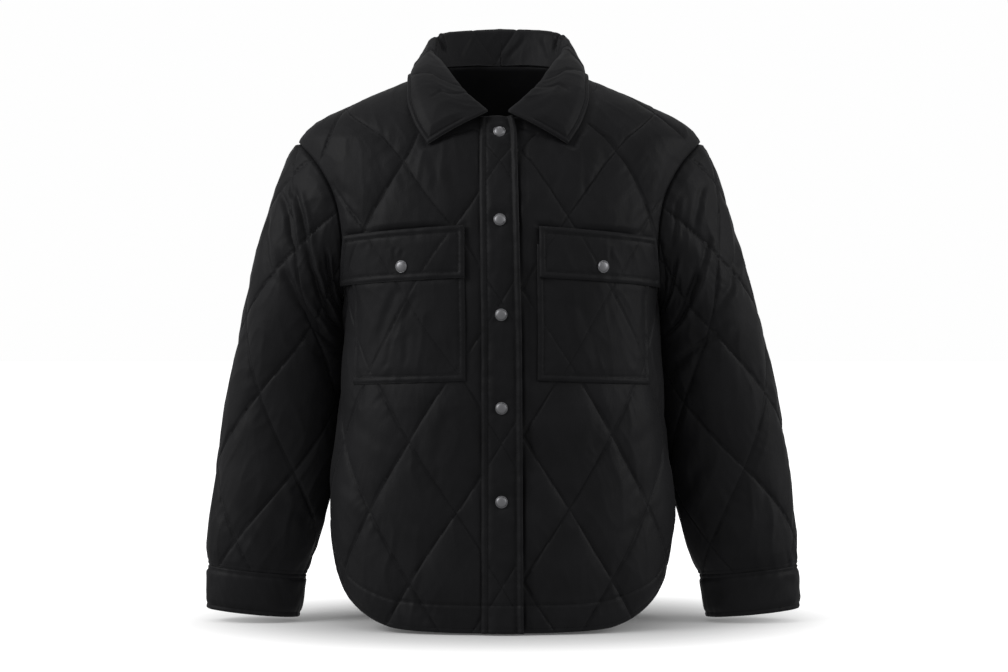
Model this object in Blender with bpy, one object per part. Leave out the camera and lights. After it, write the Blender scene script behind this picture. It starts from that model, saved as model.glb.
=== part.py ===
"""Quilted jacket, filled out as it is when worn, with nothing inside it.

Metres, +Z up, the front faces -Y, and the wearer's left is +X. The origin lies between the
two high shoulder points, where the wearer's shoulders carry the jacket.

Every sewn piece is a thin wall. Its flat outline is laid on a form: the body form is a stack
of horizontal rings, and each sleeve runs from the armhole through a row of tilted rings. The
quilting is raised in the outer face of a wall, over a plain inner face.
"""
import math
from functools import lru_cache

import bmesh
import bpy
import numpy as np
from mathutils import Vector
from mathutils.geometry import delaunay_2d_cdt

WALL = 0.0020            # cloth, wadding and backing, pressed together at a stitched line
PUFF = 0.0042            # how far the middle of a quilted diamond stands above its stitches
SEAM_GAP = 0.0003        # between two pieces that are sewn together
LAY_GAP = 0.0008         # between a panel and the piece that lies on it
ARMHOLE_GAP = 0.0010
DIAMOND_HALF_WIDTH = 0.054
DIAMOND_HALF_HEIGHT = 0.0865
QUARTERS = 4             # steps along each side of a diamond
EDGE_STEP = 0.020        # spacing of the points along an outline
INNER_STEP = 0.050       # spacing of the points in a plain inner face
COVER_MARGIN = 0.003     # round a piece that lies on a panel, where the panel is flat
EDGE_FADE = 0.022        # how far from a seam the puffs reach their full height
EDGE_ROUNDING = 0.6      # below 1, a puff rises steeply from its seam
FREE_MARGIN = 0.007      # points inside a diamond stay this far from an outline
CORNER_SNAP = 0.004      # a stitched line that ends this near an outline's point ends on it
THINNEST = 0.0010        # of a wall, at the bottom of a fold


def table(header, *rows):
    """The columns of a short table, by name."""
    return {name: [row[i] for row in rows] for i, name in enumerate(header.split())}


def curve(xs, ys):
    """A smooth curve through the points that never overshoots them, as a function of x."""
    order = np.argsort(xs)
    xs, ys = np.array(xs, float)[order], np.array(ys, float)[order]
    steps = np.diff(xs)
    slopes = np.diff(ys) / steps
    tangents = np.zeros_like(ys)
    tangents[0], tangents[-1] = slopes[0], slopes[-1]
    for i in range(1, len(xs) - 1):
        if slopes[i - 1] * slopes[i] > 0:
            before = 2 * steps[i] + steps[i - 1]
            after = steps[i] + 2 * steps[i - 1]
            tangents[i] = (before + after) / (before / slopes[i - 1] + after / slopes[i])

    def at(x):
        x = min(max(x, xs[0]), xs[-1])
        i = min(max(int(np.searchsorted(xs, x)) - 1, 0), len(steps) - 1)
        u = (x - xs[i]) / steps[i]
        return float(
            ys[i] * (2 * u**3 - 3 * u**2 + 1)
            + ys[i + 1] * (3 * u**2 - 2 * u**3)
            + steps[i] * (tangents[i] * (u**3 - 2 * u**2 + u) + tangents[i + 1] * (u**3 - u**2))
        )

    return at


def unit(vector):
    return np.array(vector, float) / np.linalg.norm(vector)


# ---------------------------------------------------------------------------------------
# The body form
# ---------------------------------------------------------------------------------------
WIDTHS = table(
    "z     half_width",
    (0.012, 0.055), (0.008, 0.066), (0.004, 0.073), (0.000, 0.079), (-0.0265, 0.135),
    (-0.042, 0.171), (-0.057, 0.203), (-0.072, 0.231), (-0.085, 0.2475), (-0.097, 0.2545),
    (-0.13, 0.2485), (-0.18, 0.232), (-0.235, 0.2145), (-0.270, 0.2040), (-0.292, 0.1990),
    (-0.334, 0.1970), (-0.41, 0.202), (-0.47, 0.2070), (-0.52, 0.2135), (-0.56, 0.2160),
    (-0.60, 0.2160), (-0.70, 0.2140), (-0.75, 0.2125),
)
DEPTHS = table(
    "z     front   back",
    (0.012, 0.034, 0.053), (0.000, 0.041, 0.062), (-0.02, 0.057, 0.073), (-0.05, 0.077, 0.089),
    (-0.07, 0.087, 0.098), (-0.10, 0.100, 0.109), (-0.15, 0.117, 0.122), (-0.20, 0.129, 0.129),
    (-0.25, 0.136, 0.131), (-0.30, 0.139, 0.129), (-0.40, 0.138, 0.121), (-0.50, 0.138, 0.118),
    (-0.60, 0.142, 0.122), (-0.70, 0.146, 0.129), (-0.75, 0.148, 0.132),
)
half_width = curve(WIDTHS["z"], WIDTHS["half_width"])
front_depth = curve(DEPTHS["z"], DEPTHS["front"])
back_depth = curve(DEPTHS["z"], DEPTHS["back"])
squareness = curve([0.0, -0.10, -0.30, -0.75], [2.1, 2.2, 2.35, 2.4])
# The shoulders hang a little towards the wearer's right of the hem.
lean_at = curve([-0.34, -0.25, -0.12, 0.0], [0.0, -0.0015, -0.0028, -0.0020])

# The cloth turns over the shoulder, so the flat cut is longer there than the height it covers.
RISE = table(
    "z     cut",
    (-0.80, -0.80), (-0.13, -0.13), (-0.097, -0.085), (-0.05, 0.015), (0.00, 0.090), (0.02, 0.115),
)


def cut_height(z):
    return float(np.interp(z, RISE["z"], RISE["cut"]))


def height(cut):
    return float(np.interp(cut, RISE["cut"], RISE["z"]))


@lru_cache(maxsize=None)
def half_ring(z, back):
    """One side of a horizontal section, from the centre line to the side: x, y, running length."""
    power = 2 / squareness(z)
    turn = np.linspace(0, math.pi / 2, 361)
    depth = back_depth(z) if back else -front_depth(z)
    x = half_width(z) * np.sin(turn) ** power
    y = depth * np.cos(turn) ** power
    run = np.concatenate([[0.0], np.cumsum(np.hypot(np.diff(x), np.diff(y)))])
    return x, y, run


def side_run(z, back=False):
    """The length round a section from the centre line to the side."""
    return float(half_ring(z, back)[2][-1])


def run_at_x(x, z, back=False):
    xs, _, run = half_ring(z, back)
    return math.copysign(float(np.interp(abs(x), xs, run)), x)


def run_at_y(y, z, back=False):
    _, ys, run = half_ring(z, back)
    return float(np.interp(-abs(y), -np.abs(ys), run))


def on_body(run, z, back=False):
    """The point of the body form at a length round its section, and the outward normal there."""
    xs, ys, runs = half_ring(z, back)
    x = math.copysign(float(np.interp(abs(run), runs, xs)), run)
    y = float(np.interp(abs(run), runs, ys))
    power, width = squareness(z), half_width(z)
    depth_at = back_depth if back else front_depth
    depth, step = depth_at(z), 0.001
    width_slope = (half_width(z + step) - half_width(z - step)) / (2 * step)
    depth_slope = (depth_at(z + step) - depth_at(z - step)) / (2 * step)
    across, along = abs(x) / width, abs(y) / depth
    normal = unit((
        math.copysign(across ** (power - 1) / width, x),
        math.copysign(along ** (power - 1) / depth, y),
        -(across**power * width_slope / width + along**power * depth_slope / depth),
    ))
    return np.array((x + lean_at(z), y, z)), normal


def on_front(p, q):
    return on_body(p, height(q))


def on_back(p, q):
    return on_body(p, height(q), back=True)


# ---------------------------------------------------------------------------------------
# Outlines of the body pieces, as (length round the body, cut height)
# ---------------------------------------------------------------------------------------
ARMHOLE_MIDDLE = -0.1945
ARMHOLE_HALF_HEIGHT = 0.0975
ARMHOLE_HALF_DEPTH = 0.0705
ARMHOLE_STEPS = 40
SHOULDER_Z = ARMHOLE_MIDDLE + ARMHOLE_HALF_HEIGHT
UNDERARM_Z = ARMHOLE_MIDDLE - ARMHOLE_HALF_HEIGHT

HEM = table(
    "part_of_side  z",
    (0.00, -0.7015), (0.15, -0.7012), (0.30, -0.7003), (0.45, -0.6975), (0.53, -0.6915),
    (0.60, -0.6830), (0.70, -0.6655), (0.77, -0.6475), (0.82, -0.6290), (0.87, -0.6080),
    (0.93, -0.5900), (1.00, -0.5800),
)
hem_z = curve(HEM["part_of_side"], HEM["z"])
HEM_STEPS = 16

NECK_FRONT = table(
    "x      z",
    (0.0203, -0.0705), (0.034, -0.0600), (0.046, -0.0475), (0.057, -0.0350), (0.066, -0.0240),
    (0.0735, -0.0130), (0.0775, -0.0060),
)
NECK_BACK = table("x z", (0.0, 0.0080), (0.02, 0.0078), (0.04, 0.0066), (0.06, 0.0040), (0.072, 0.0018))
FRONTS_MEET = -0.017     # the fronts meet under the placket, to the wearer's right of the middle


def armhole_turns():
    """Turns round the armhole, from the shoulder (0) forward to the underarm (pi) and back."""
    return [math.tau * i / ARMHOLE_STEPS for i in range(ARMHOLE_STEPS + 1)]


def armhole_point(turn, side):
    """A point on the edge of the armhole of the wearer's left (1) or right (-1) side."""
    z = ARMHOLE_MIDDLE + ARMHOLE_HALF_HEIGHT * math.cos(turn)
    back = turn > math.pi
    run = run_at_y(ARMHOLE_HALF_DEPTH * math.sin(turn), z, back)
    return side * run, z


def side_outline(back):
    """The wearer's-left edge of a front or back: hem, side seam, armhole and shoulder seam."""
    points = []
    for i in range(HEM_STEPS + 1):
        part = i / HEM_STEPS
        z = hem_z(part)
        points.append((part * side_run(z, back), z))
    points.pop()
    side_rows = np.linspace(hem_z(1.0), UNDERARM_Z, 15)
    points += [(side_run(z, back), z) for z in side_rows]
    turns = [t for t in armhole_turns() if 0 < t < math.pi]
    for turn in reversed(turns):
        points.append(armhole_point(math.tau - turn if back else turn, 1))
    points += [(side_run(z, back), z) for z in np.linspace(SHOULDER_Z, 0.0, 12)]
    seam = SEAM_GAP / 2
    limits = [side_run(z, back) - seam for _, z in points]
    return [(min(run, limit), cut_height(z)) for (run, z), limit in zip(points, limits)]


def front_outline(side):
    """A front, from where the fronts meet round to the wearer's left (1) or right (-1)."""
    meet = side * FRONTS_MEET + SEAM_GAP / 2
    points = [point for point in side_outline(False) if point[0] > meet + 0.004]
    neck = list(zip(NECK_FRONT["x"], NECK_FRONT["z"]))
    points += [(run_at_x(x, z), cut_height(z)) for x, z in reversed(neck)]
    top = cut_height(NECK_FRONT["z"][0])
    bottom = cut_height(hem_z(0.0))
    points += [(meet, cut) for cut in np.linspace(top, bottom, 36)]
    return [(side * run, cut) for run, cut in points]


def back_outline():
    half = side_outline(True)[1:]
    neck = list(zip(NECK_BACK["x"], NECK_BACK["z"]))[1:]
    half += [(run_at_x(x, z, True), cut_height(z)) for x, z in reversed(neck)]
    mirrored = [(-run, cut) for run, cut in reversed(half)]
    return half + [(0.0, cut_height(NECK_BACK["z"][0]))] + mirrored + [(0.0, cut_height(hem_z(0.0)))]


# ---------------------------------------------------------------------------------------
# The sleeve form
# ---------------------------------------------------------------------------------------
CAP_LENGTH = 0.275       # down the outer line of the sleeve, from the shoulder to the first ring
FIRST_RING_Z = -0.360
CUFF_SEAM = 0.278        # below the first ring
SLEEVE_LENGTH = CAP_LENGTH + CUFF_SEAM
CUFF_HEIGHT = 0.054
SLEEVE_RADIUS = 0.0685   # the flat cut is drawn at this radius
SLEEVE_RINGS = table(
    "below   x       y      half_width  half_depth  tilt",
    (0.000, 0.2675, 0.030, 0.0690, 0.0680, 12.0),
    (0.070, 0.2776, 0.034, 0.0727, 0.0600, 10.0),
    (0.140, 0.2870, 0.030, 0.0750, 0.0520, 9.0),
    (0.200, 0.2968, 0.020, 0.0718, 0.0460, 8.0),
    (0.240, 0.3037, 0.013, 0.0680, 0.0420, 7.0),
    (0.278, 0.3108, 0.009, 0.0630, 0.0390, 6.0),
    (0.332, 0.3160, 0.005, 0.0600, 0.0360, 5.5),
)
sleeve_at = {
    name: curve(SLEEVE_RINGS["below"], values)
    for name, values in SLEEVE_RINGS.items() if name != "below"
}
LEAVING = table(
    "turn_share   out    down  pull",
    (0.0, 0.50, 0.87, 1.0), (0.5, 0.74, 0.67, 1.0), (1.0, 0.97, 0.22, 0.32),
)
# How far each sleeve's cap stands out, and how far its cuff swings out, for each side.
CAP_FULLNESS = {1: -0.007, -1: -0.001}
CUFF_SWING = {1: 0.003, -1: 0.0}


def sleeve_ring(turn, below, side):
    """A point of a sleeve ring; turn 0 is the outermost line and pi is under the arm."""
    tilt = math.radians(sleeve_at["tilt"](below))
    wide = sleeve_at["half_width"](below) * math.cos(turn)
    deep = sleeve_at["half_depth"](below) * math.sin(turn)
    swing = CUFF_SWING[side] * below / CUFF_SEAM
    x = sleeve_at["x"](below) + swing + wide * math.cos(tilt)
    y = sleeve_at["y"](below) - deep
    z = FIRST_RING_Z - below + wide * math.sin(tilt)
    return np.array((side * x, y, z))


@lru_cache(maxsize=None)
def armhole_loop(side):
    """The armhole's edge as points, which the body's panels and the sleeve share."""
    points = []
    for turn in armhole_turns():
        run, z = armhole_point(turn, side)
        points.append(on_body(run, z, turn > math.pi)[0])
    return np.array(points)


def sleeve_start(turn, side):
    """The sleeve's edge in the armhole, the direction it leaves in, and how stiffly it does."""
    turns = armhole_turns()
    loop = armhole_loop(side)
    edge = np.array([np.interp(turn % math.tau, turns, loop[:, axis]) for axis in range(3)])
    share = abs((turn + math.pi) % math.tau - math.pi) / math.pi
    out = np.interp(share, LEAVING["turn_share"], LEAVING["out"])
    down = np.interp(share, LEAVING["turn_share"], LEAVING["down"])
    pull = np.interp(share, LEAVING["turn_share"], LEAVING["pull"])
    leaving = unit((side * out, 0.0, -down))
    inward = loop.mean(axis=0) - edge
    inward[0] = 0.0
    return edge + unit(inward) * ARMHOLE_GAP, leaving * pull


def sleeve_point(turn, down, side):
    """The sleeve's outer base at a turn round it and a length down its outer line."""
    if down >= CAP_LENGTH:
        return sleeve_ring(turn, down - CAP_LENGTH, side)
    start, leaving = sleeve_start(turn, side)
    end = sleeve_ring(turn, 0.0, side)
    after = sleeve_ring(turn, 0.03, side)
    reach = np.linalg.norm(end - start)
    u = max(down, 0.0) / CAP_LENGTH
    fullness = CAP_FULLNESS[side] * max(math.cos(turn), 0.0) * math.sin(math.pi * u) ** 2
    point = (
        start * (2 * u**3 - 3 * u**2 + 1)
        + end * (3 * u**2 - 2 * u**3)
        + leaving * reach * (u**3 - 2 * u**2 + u)
        + unit(after - end) * reach * (u**3 - u**2)
    )
    return point + np.array((side * fullness, 0.0, 0.0))


def on_sleeve(side):
    """The form of one sleeve: its outline is (turn times radius, minus the length down)."""
    def place(p, q):
        turn, down, step = side * p / SLEEVE_RADIUS, -q, 0.002
        point = sleeve_point(turn, down, side)
        top, low = max(down - step, 0.0), max(down - step, 0.0) + 2 * step
        lengthways = sleeve_point(turn, low, side) - sleeve_point(turn, top, side)
        around = sleeve_point(turn + 0.02, down, side) - sleeve_point(turn - 0.02, down, side)
        normal = unit(np.cross(around, lengthways))
        return point, normal * side
    return place


def sleeve_outline():
    """The sleeve laid flat: the two long edges meet in the seam under the arm."""
    edge = math.pi * SLEEVE_RADIUS - SEAM_GAP / 2
    limit = SLEEVE_RADIUS * math.pi
    top = [(turn - math.pi) * SLEEVE_RADIUS * edge / limit for turn in armhole_turns()]
    bottom = np.linspace(edge, -edge, 33)
    downs = np.linspace(0, SLEEVE_LENGTH, 27)[1:-1]
    points = [(p, 0.0) for p in top]
    points += [(edge, -down) for down in downs]
    points += [(p, -SLEEVE_LENGTH) for p in bottom]
    points += [(-edge, -down) for down in reversed(downs)]
    return points


# ---------------------------------------------------------------------------------------
# Quilting
# ---------------------------------------------------------------------------------------
class Quilting:
    """Diamonds on a piece's flat cut, with one crossing at the given place."""

    def __init__(self, p, q, height=PUFF, to_cut=None, from_cut=None):
        self.p, self.q, self.height = p, q, height
        self.to_cut = to_cut or (lambda p, q: (p, q))
        self.from_cut = from_cut or (lambda p, q: (p, q))

    def place(self, a, b):
        """From diamonds counted along the two families of lines to the piece's outline."""
        p = self.p + DIAMOND_HALF_WIDTH * (a + b)
        q = self.q + DIAMOND_HALF_HEIGHT * (a - b)
        return self.from_cut(p, q)

    def count(self, p, q):
        p, q = self.to_cut(p, q)
        across = (p - self.p) / DIAMOND_HALF_WIDTH
        up = (q - self.q) / DIAMOND_HALF_HEIGHT
        return (across + up) / 2, (across - up) / 2

    def puff(self, p, q):
        """Height of the wadding above its stitches."""
        a, b = (value - math.floor(value) for value in self.count(p, q))
        return self.height * math.sqrt(16 * a * (1 - a) * b * (1 - b))

    def span(self, outline):
        counts = [self.count(p, q) for p, q in outline]
        low = [math.floor(min(c[i] for c in counts)) - 1 for i in range(2)]
        high = [math.ceil(max(c[i] for c in counts)) + 1 for i in range(2)]
        return low, high


FRONT_CROSSING = {-1: (0.000, -0.1265), 1: (0.026, -0.1195)}
QUILT_SHIFT = table(
    # how far the sewn lines of each front lie outward and up from the even lattice
    "side  q  outward  up",
    (-1, -0.650, 0.0050, 0.0030), (-1, -0.470, 0.0065, 0.0030), (-1, -0.210, 0.0095, 0.0030),
    (-1, -0.130, 0.0105, 0.0005), (-1, 0.004, 0.0330, 0.0440),
    (1, -0.650, 0.0030, -0.0005), (1, -0.450, 0.0035, 0.0030), (1, -0.200, 0.0045, 0.0105),
    (1, -0.107, 0.0110, 0.0127), (1, -0.012, 0.0100, 0.0210),
)
SHIFT_STARTS, SHIFT_FULL = 0.03, 0.10    # the shift grows between these runs from the middle


def front_quilting(side, height=PUFF):
    """A front's diamonds, which were sewn a little off the even lattice."""
    rows = [row for row in zip(*QUILT_SHIFT.values()) if row[0] == side]
    outward = curve([q for _, q, _, _ in rows], [shift for _, _, shift, _ in rows])
    up = curve([q for _, q, _, _ in rows], [shift for *_, shift in rows])

    def across(p, q):
        share = min(max((abs(p) - SHIFT_STARTS) / (SHIFT_FULL - SHIFT_STARTS), 0.0), 1.0)
        return side * outward(q) * share * share * (3 - 2 * share)

    def to_cut(p, q):
        return p - across(p, q), q - up(q)

    def from_cut(p, q):
        at_p, at_q = p, q
        for _ in range(5):
            at_q = q + up(at_q)
            at_p = p + across(at_p, at_q)
        return at_p, at_q

    return Quilting(*FRONT_CROSSING[side], height, to_cut, from_cut)


SLEEVE_QUILTING = table(
    # one crossing of each sleeve: forward of the outer line, and above the cuff seam
    "side  forward  above  lean  stretch",
    (-1, 0.076, 0.2245, 0.08, 1.092), (1, 0.111, 0.3135, 0.14, 1.058),
)


@lru_cache(maxsize=None)
def sleeve_lengths(side):
    """Cloth lengths on a grid of turns and lengths down: up from the cuff seam, and round."""
    turns = np.linspace(-math.pi, math.pi, 37)
    downs = np.linspace(0, SLEEVE_LENGTH, 45)
    points = np.array([[sleeve_point(turn, down, side) for down in downs] for turn in turns])
    steps = np.linalg.norm(np.diff(points, axis=1), axis=2)
    run = np.cumsum(np.pad(steps, ((0, 0), (1, 0))), axis=1)
    rounds = np.linalg.norm(np.diff(points, axis=0), axis=2).sum(axis=0)
    return turns, downs, run[:, -1:] - run, rounds


def sleeve_quilting(side):
    """A sleeve's diamonds, even on the cloth itself and leaning a little forward."""
    row = SLEEVE_QUILTING["side"].index(side)
    forward, start, lean, stretch = (
        SLEEVE_QUILTING[name][row] for name in ("forward", "above", "lean", "stretch"))
    turns, downs, heights, rounds = sleeve_lengths(side)

    def above(turn, down):
        at = min(max((turn - turns[0]) / (turns[1] - turns[0]), 0.0), len(turns) - 1.001)
        deep = min(max(down / downs[1], 0.0), len(downs) - 1.001)
        i, j = int(at), int(deep)
        u, v = at - i, deep - j
        low = heights[i, j] * (1 - u) + heights[i + 1, j] * u
        high = heights[i, j + 1] * (1 - u) + heights[i + 1, j + 1] * u
        return float(low * (1 - v) + high * v) - min(down, 0.0)

    def girth(down):
        return float(np.interp(down, downs, rounds))

    def to_cut(p, q):
        turn, down = side * p / SLEEVE_RADIUS, -q
        high = above(turn, down)
        return turn * girth(down) / math.tau - lean * (high - start), high / stretch

    def from_cut(p, q):
        high = q * stretch
        run = p + lean * (high - start)
        down = SLEEVE_LENGTH - high
        for _ in range(25):
            turn = run * math.tau / girth(down)
            down += above(turn, down) - high
        return side * turn * SLEEVE_RADIUS, -down

    return Quilting(forward, start / stretch, PUFF, to_cut, from_cut)


# ---------------------------------------------------------------------------------------
# Drag folds, which run round the upper sleeves from the armhole towards the elbow
# ---------------------------------------------------------------------------------------
SLEEVE_FOLDS = table(
    # turns in degrees from the outermost line, forward positive; lengths down the sleeve
    "side turn0  down0  turn1  down1  width  depth  bow",
    (-1, 24, 0.064, 76, 0.116, 0.0090, 0.0052, 0.04),
    (-1, 40, 0.046, 82, 0.086, 0.0085, 0.0050, 0.03),
    (-1, 72, 0.080, 152, 0.185, 0.0095, 0.0060, 0.05),
    (-1, 58, 0.140, 140, 0.235, 0.0095, 0.0050, 0.04),
    (-1, -40, 0.060, -80, 0.120, 0.0090, 0.0050, -0.04),
    (-1, -70, 0.080, -150, 0.190, 0.0095, 0.0056, -0.05),
    (1, 54, 0.100, 112, 0.150, 0.0090, 0.0052, 0.04),
    (1, 6, 0.125, 86, 0.215, 0.0095, 0.0048, 0.04),
    (1, 42, 0.040, 72, 0.080, 0.0085, 0.0046, -0.03),
    (1, 84, 0.110, 150, 0.205, 0.0095, 0.0056, 0.05),
    (1, -36, 0.070, -84, 0.130, 0.0090, 0.0050, 0.04),
    (1, -66, 0.090, -148, 0.200, 0.0095, 0.0056, 0.05),
)
FOLD_STEP = 0.016        # spacing of the points along a fold
FOLD_FLANK = 1.5         # the lines of points beside a fold lie this many widths from it


class Fold:
    """A trough between two places of a flat cut, bowed sideways, that dies out at its ends."""

    def __init__(self, start, end, width, depth, bow):
        self.start, self.along = np.array(start), np.array(end) - np.array(start)
        self.size = math.hypot(*self.along)
        self.width, self.depth, self.bow = width, depth, bow

    def bend(self, share):
        return self.bow * self.size * 4 * share * (1 - share)

    def rows(self):
        """Lines of points along its bottom and along both flanks."""
        sideways = np.array((self.along[1], -self.along[0])) / self.size
        parts = max(2, round(self.size / FOLD_STEP))
        found = []
        for offset in (-FOLD_FLANK * self.width, 0.0, FOLD_FLANK * self.width):
            row = [
                tuple(self.start + self.along * share + sideways * (self.bend(share) + offset))
                for share in np.linspace(0, 1, parts + 1)
            ]
            found += list(zip(row, row[1:]))
        return found

    def drop(self, p, q):
        offset = np.array((p, q)) - self.start
        share = float(offset @ self.along) / self.size**2
        side = (offset[0] * self.along[1] - offset[1] * self.along[0]) / self.size
        side -= self.bend(share)
        ends = min(1.0, max(0.0, 5 * share)) * min(1.0, max(0.0, 5 * (1 - share)))
        return self.depth * ends * math.exp(-((side / self.width) ** 2))


def sleeve_folds(side):
    rows = [row[1:] for row in zip(*SLEEVE_FOLDS.values()) if row[0] == side]
    return [
        Fold((side * math.radians(turn0) * SLEEVE_RADIUS, -down0),
             (side * math.radians(turn1) * SLEEVE_RADIUS, -down1), width, depth, bow)
        for turn0, down0, turn1, down1, width, depth, bow in rows
    ]


# ---------------------------------------------------------------------------------------
# From a flat outline to a solid wall
# ---------------------------------------------------------------------------------------
def inside(point, outline):
    x, y = point
    found = False
    for (x0, y0), (x1, y1) in zip(outline, outline[1:] + outline[:1]):
        if (y0 > y) != (y1 > y) and x < x0 + (y - y0) * (x1 - x0) / (y1 - y0):
            found = not found
    return found


def distance(point, outline):
    """From a point to the nearest place on an outline."""
    starts = np.array(outline)
    along = np.roll(starts, -1, axis=0) - starts
    share = ((np.array(point) - starts) * along).sum(1) / np.maximum((along**2).sum(1), 1e-12)
    nearest = starts + along * np.clip(share, 0, 1)[:, None]
    return float(np.linalg.norm(nearest - point, axis=1).min())


def refined(outline, step):
    """The outline with points added wherever two lie further apart than the step."""
    points = []
    for start, end in zip(outline, outline[1:] + outline[:1]):
        parts = max(1, math.ceil(math.dist(start, end) / step - 0.25))
        points += [tuple(np.array(start) + (np.array(end) - start) * i / parts) for i in range(parts)]
    return points


def crossings(start, end, outline):
    """Where a stretch of quilting meets the outline: share of the stretch, edge, share of edge."""
    (ax, ay), (bx, by) = start, end
    found = []
    for i, ((cx, cy), (dx, dy)) in enumerate(zip(outline, outline[1:] + outline[:1])):
        spread = (bx - ax) * (dy - cy) - (by - ay) * (dx - cx)
        if abs(spread) < 1e-12:
            continue
        t = ((cx - ax) * (dy - cy) - (cy - ay) * (dx - cx)) / spread
        u = ((cx - ax) * (by - ay) - (cy - ay) * (bx - ax)) / spread
        if 0 < t < 1 and 0 <= u < 1:
            found.append((t, i, u))
    return sorted(found)


def grown(outline, margin):
    """An outline moved outward by a margin."""
    corners = np.array(outline)
    before, after = np.roll(corners, 1, axis=0), np.roll(corners, -1, axis=0)
    area = (before[:, 0] * corners[:, 1] - corners[:, 0] * before[:, 1]).sum()
    along = after - before
    sideways = np.stack([along[:, 1], -along[:, 0]], axis=1) * math.copysign(1, area)
    lengths = np.maximum(np.linalg.norm(sideways, axis=1), 1e-9)
    corner_reach = 1.4 if len(outline) == 4 else 1.0
    return [tuple(p) for p in corners + sideways / lengths[:, None] * margin * corner_reach]


def clipped(lines, outline):
    """The outline with the ends of the lines added to it, and the stretches that lie inside."""
    added, stretches = {}, []
    for start, end in lines:
        marks = [(0.0, start)]
        for share, edge, place in crossings(start, end, outline):
            first, last = np.array(outline[edge]), np.array(outline[(edge + 1) % len(outline)])
            point = first + (last - first) * place
            if math.dist(point, first) < CORNER_SNAP:
                point = first
            elif math.dist(point, last) < CORNER_SNAP:
                point = last
            else:
                added.setdefault(edge, []).append((place, tuple(point)))
            marks.append((share, tuple(point)))
        marks.append((1.0, end))
        for (t0, p0), (t1, p1) in zip(marks, marks[1:]):
            middle = np.array(start) + (np.array(end) - start) * (t0 + t1) / 2
            if t1 - t0 > 0.01 and math.dist(p0, p1) > 0.001 and inside(middle, outline):
                stretches.append((tuple(p0), tuple(p1)))
    edge_points = []
    for i, point in enumerate(outline):
        edge_points.append(tuple(point))
        edge_points += [p for _, p in sorted(added.get(i, []))]
    return edge_points, stretches


def quilt_lines(outline, quilting):
    """The quilting's stitched lines, in short stretches, and free points inside its diamonds."""
    low, high = quilting.span(outline)
    lines, free = [], []
    for family in range(2):
        other = 1 - family
        for line in range(low[family], high[family] + 1):
            for step in range((high[other] - low[other]) * QUARTERS):
                counts = [low[other] + (step + i) / QUARTERS for i in range(2)]
                pair = [(line, c) if family == 0 else (c, line) for c in counts]
                lines.append(tuple(quilting.place(*c) for c in pair))
    for i in range(low[0] * QUARTERS, high[0] * QUARTERS):
        for j in range(low[1] * QUARTERS, high[1] * QUARTERS):
            if i % QUARTERS and j % QUARTERS:
                point = quilting.place(i / QUARTERS, j / QUARTERS)
                if inside(point, outline) and distance(point, outline) > FREE_MARGIN:
                    free.append(point)
    return lines, free


def spread_points(outline, step):
    """Points in even rows inside an outline."""
    xs, ys = zip(*outline)
    rows = []
    for j, y in enumerate(np.arange(min(ys) + step / 2, max(ys), step * 0.87)):
        for x in np.arange(min(xs) + (step / 2 if j % 2 else step * 0.25), max(xs), step):
            if inside((x, y), outline) and distance((x, y), outline) > step * 0.45:
                rows.append((float(x), float(y)))
    return rows


def triangulated(outline, stretches, free):
    """Triangles inside the outline, their points, and which point each outline point became."""
    points = [Vector(p) for p in outline]
    places = {tuple(round(c, 7) for c in p): i for i, p in enumerate(outline)}
    for p in [p for pair in stretches for p in pair] + list(free):
        key = tuple(round(c, 7) for c in p)
        if key not in places:
            places[key] = len(points)
            points.append(Vector(p))
    edges = [tuple(places[tuple(round(c, 7) for c in p)] for p in pair) for pair in stretches]
    flat, _, faces, origins, _, _ = delaunay_2d_cdt(
        points, edges, [list(range(len(outline)))], 1, 1e-7)
    became = {}
    for new, olds in enumerate(origins):
        for old in olds:
            became[old] = new
    return [tuple(p) for p in flat], faces, [became[i] for i in range(len(outline))]


def add_object(name, points, faces, material):
    """A closed body as an object of its own, with its faces turned outward."""
    mesh = bpy.data.meshes.new(name)
    mesh.from_pydata([tuple(float(c) for c in p) for p in points], [], faces)
    work = bmesh.new()
    work.from_mesh(mesh)
    bmesh.ops.triangulate(work, faces=work.faces)
    bmesh.ops.recalc_face_normals(work, faces=work.faces)
    work.to_mesh(mesh)
    work.free()
    mesh.shade_smooth()
    mesh.set_sharp_from_angle(angle=math.radians(50))
    mesh.materials.append(material)
    piece = bpy.data.objects.new(name, mesh)
    bpy.context.collection.objects.link(piece)
    piece.parent = bpy.data.objects["jacket"]
    return piece


def fade(point, outline, covers):
    """The puffs sink to nothing at the seams and under whatever lies on the panel."""
    share = min(1.0, distance(point, outline) / EDGE_FADE) ** EDGE_ROUNDING
    for cover, reach in covers:
        if inside(point, cover) or distance(point, cover) < 0.0001:
            return 0.0
        share *= min(1.0, distance(point, cover) / reach)
    return share


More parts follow.
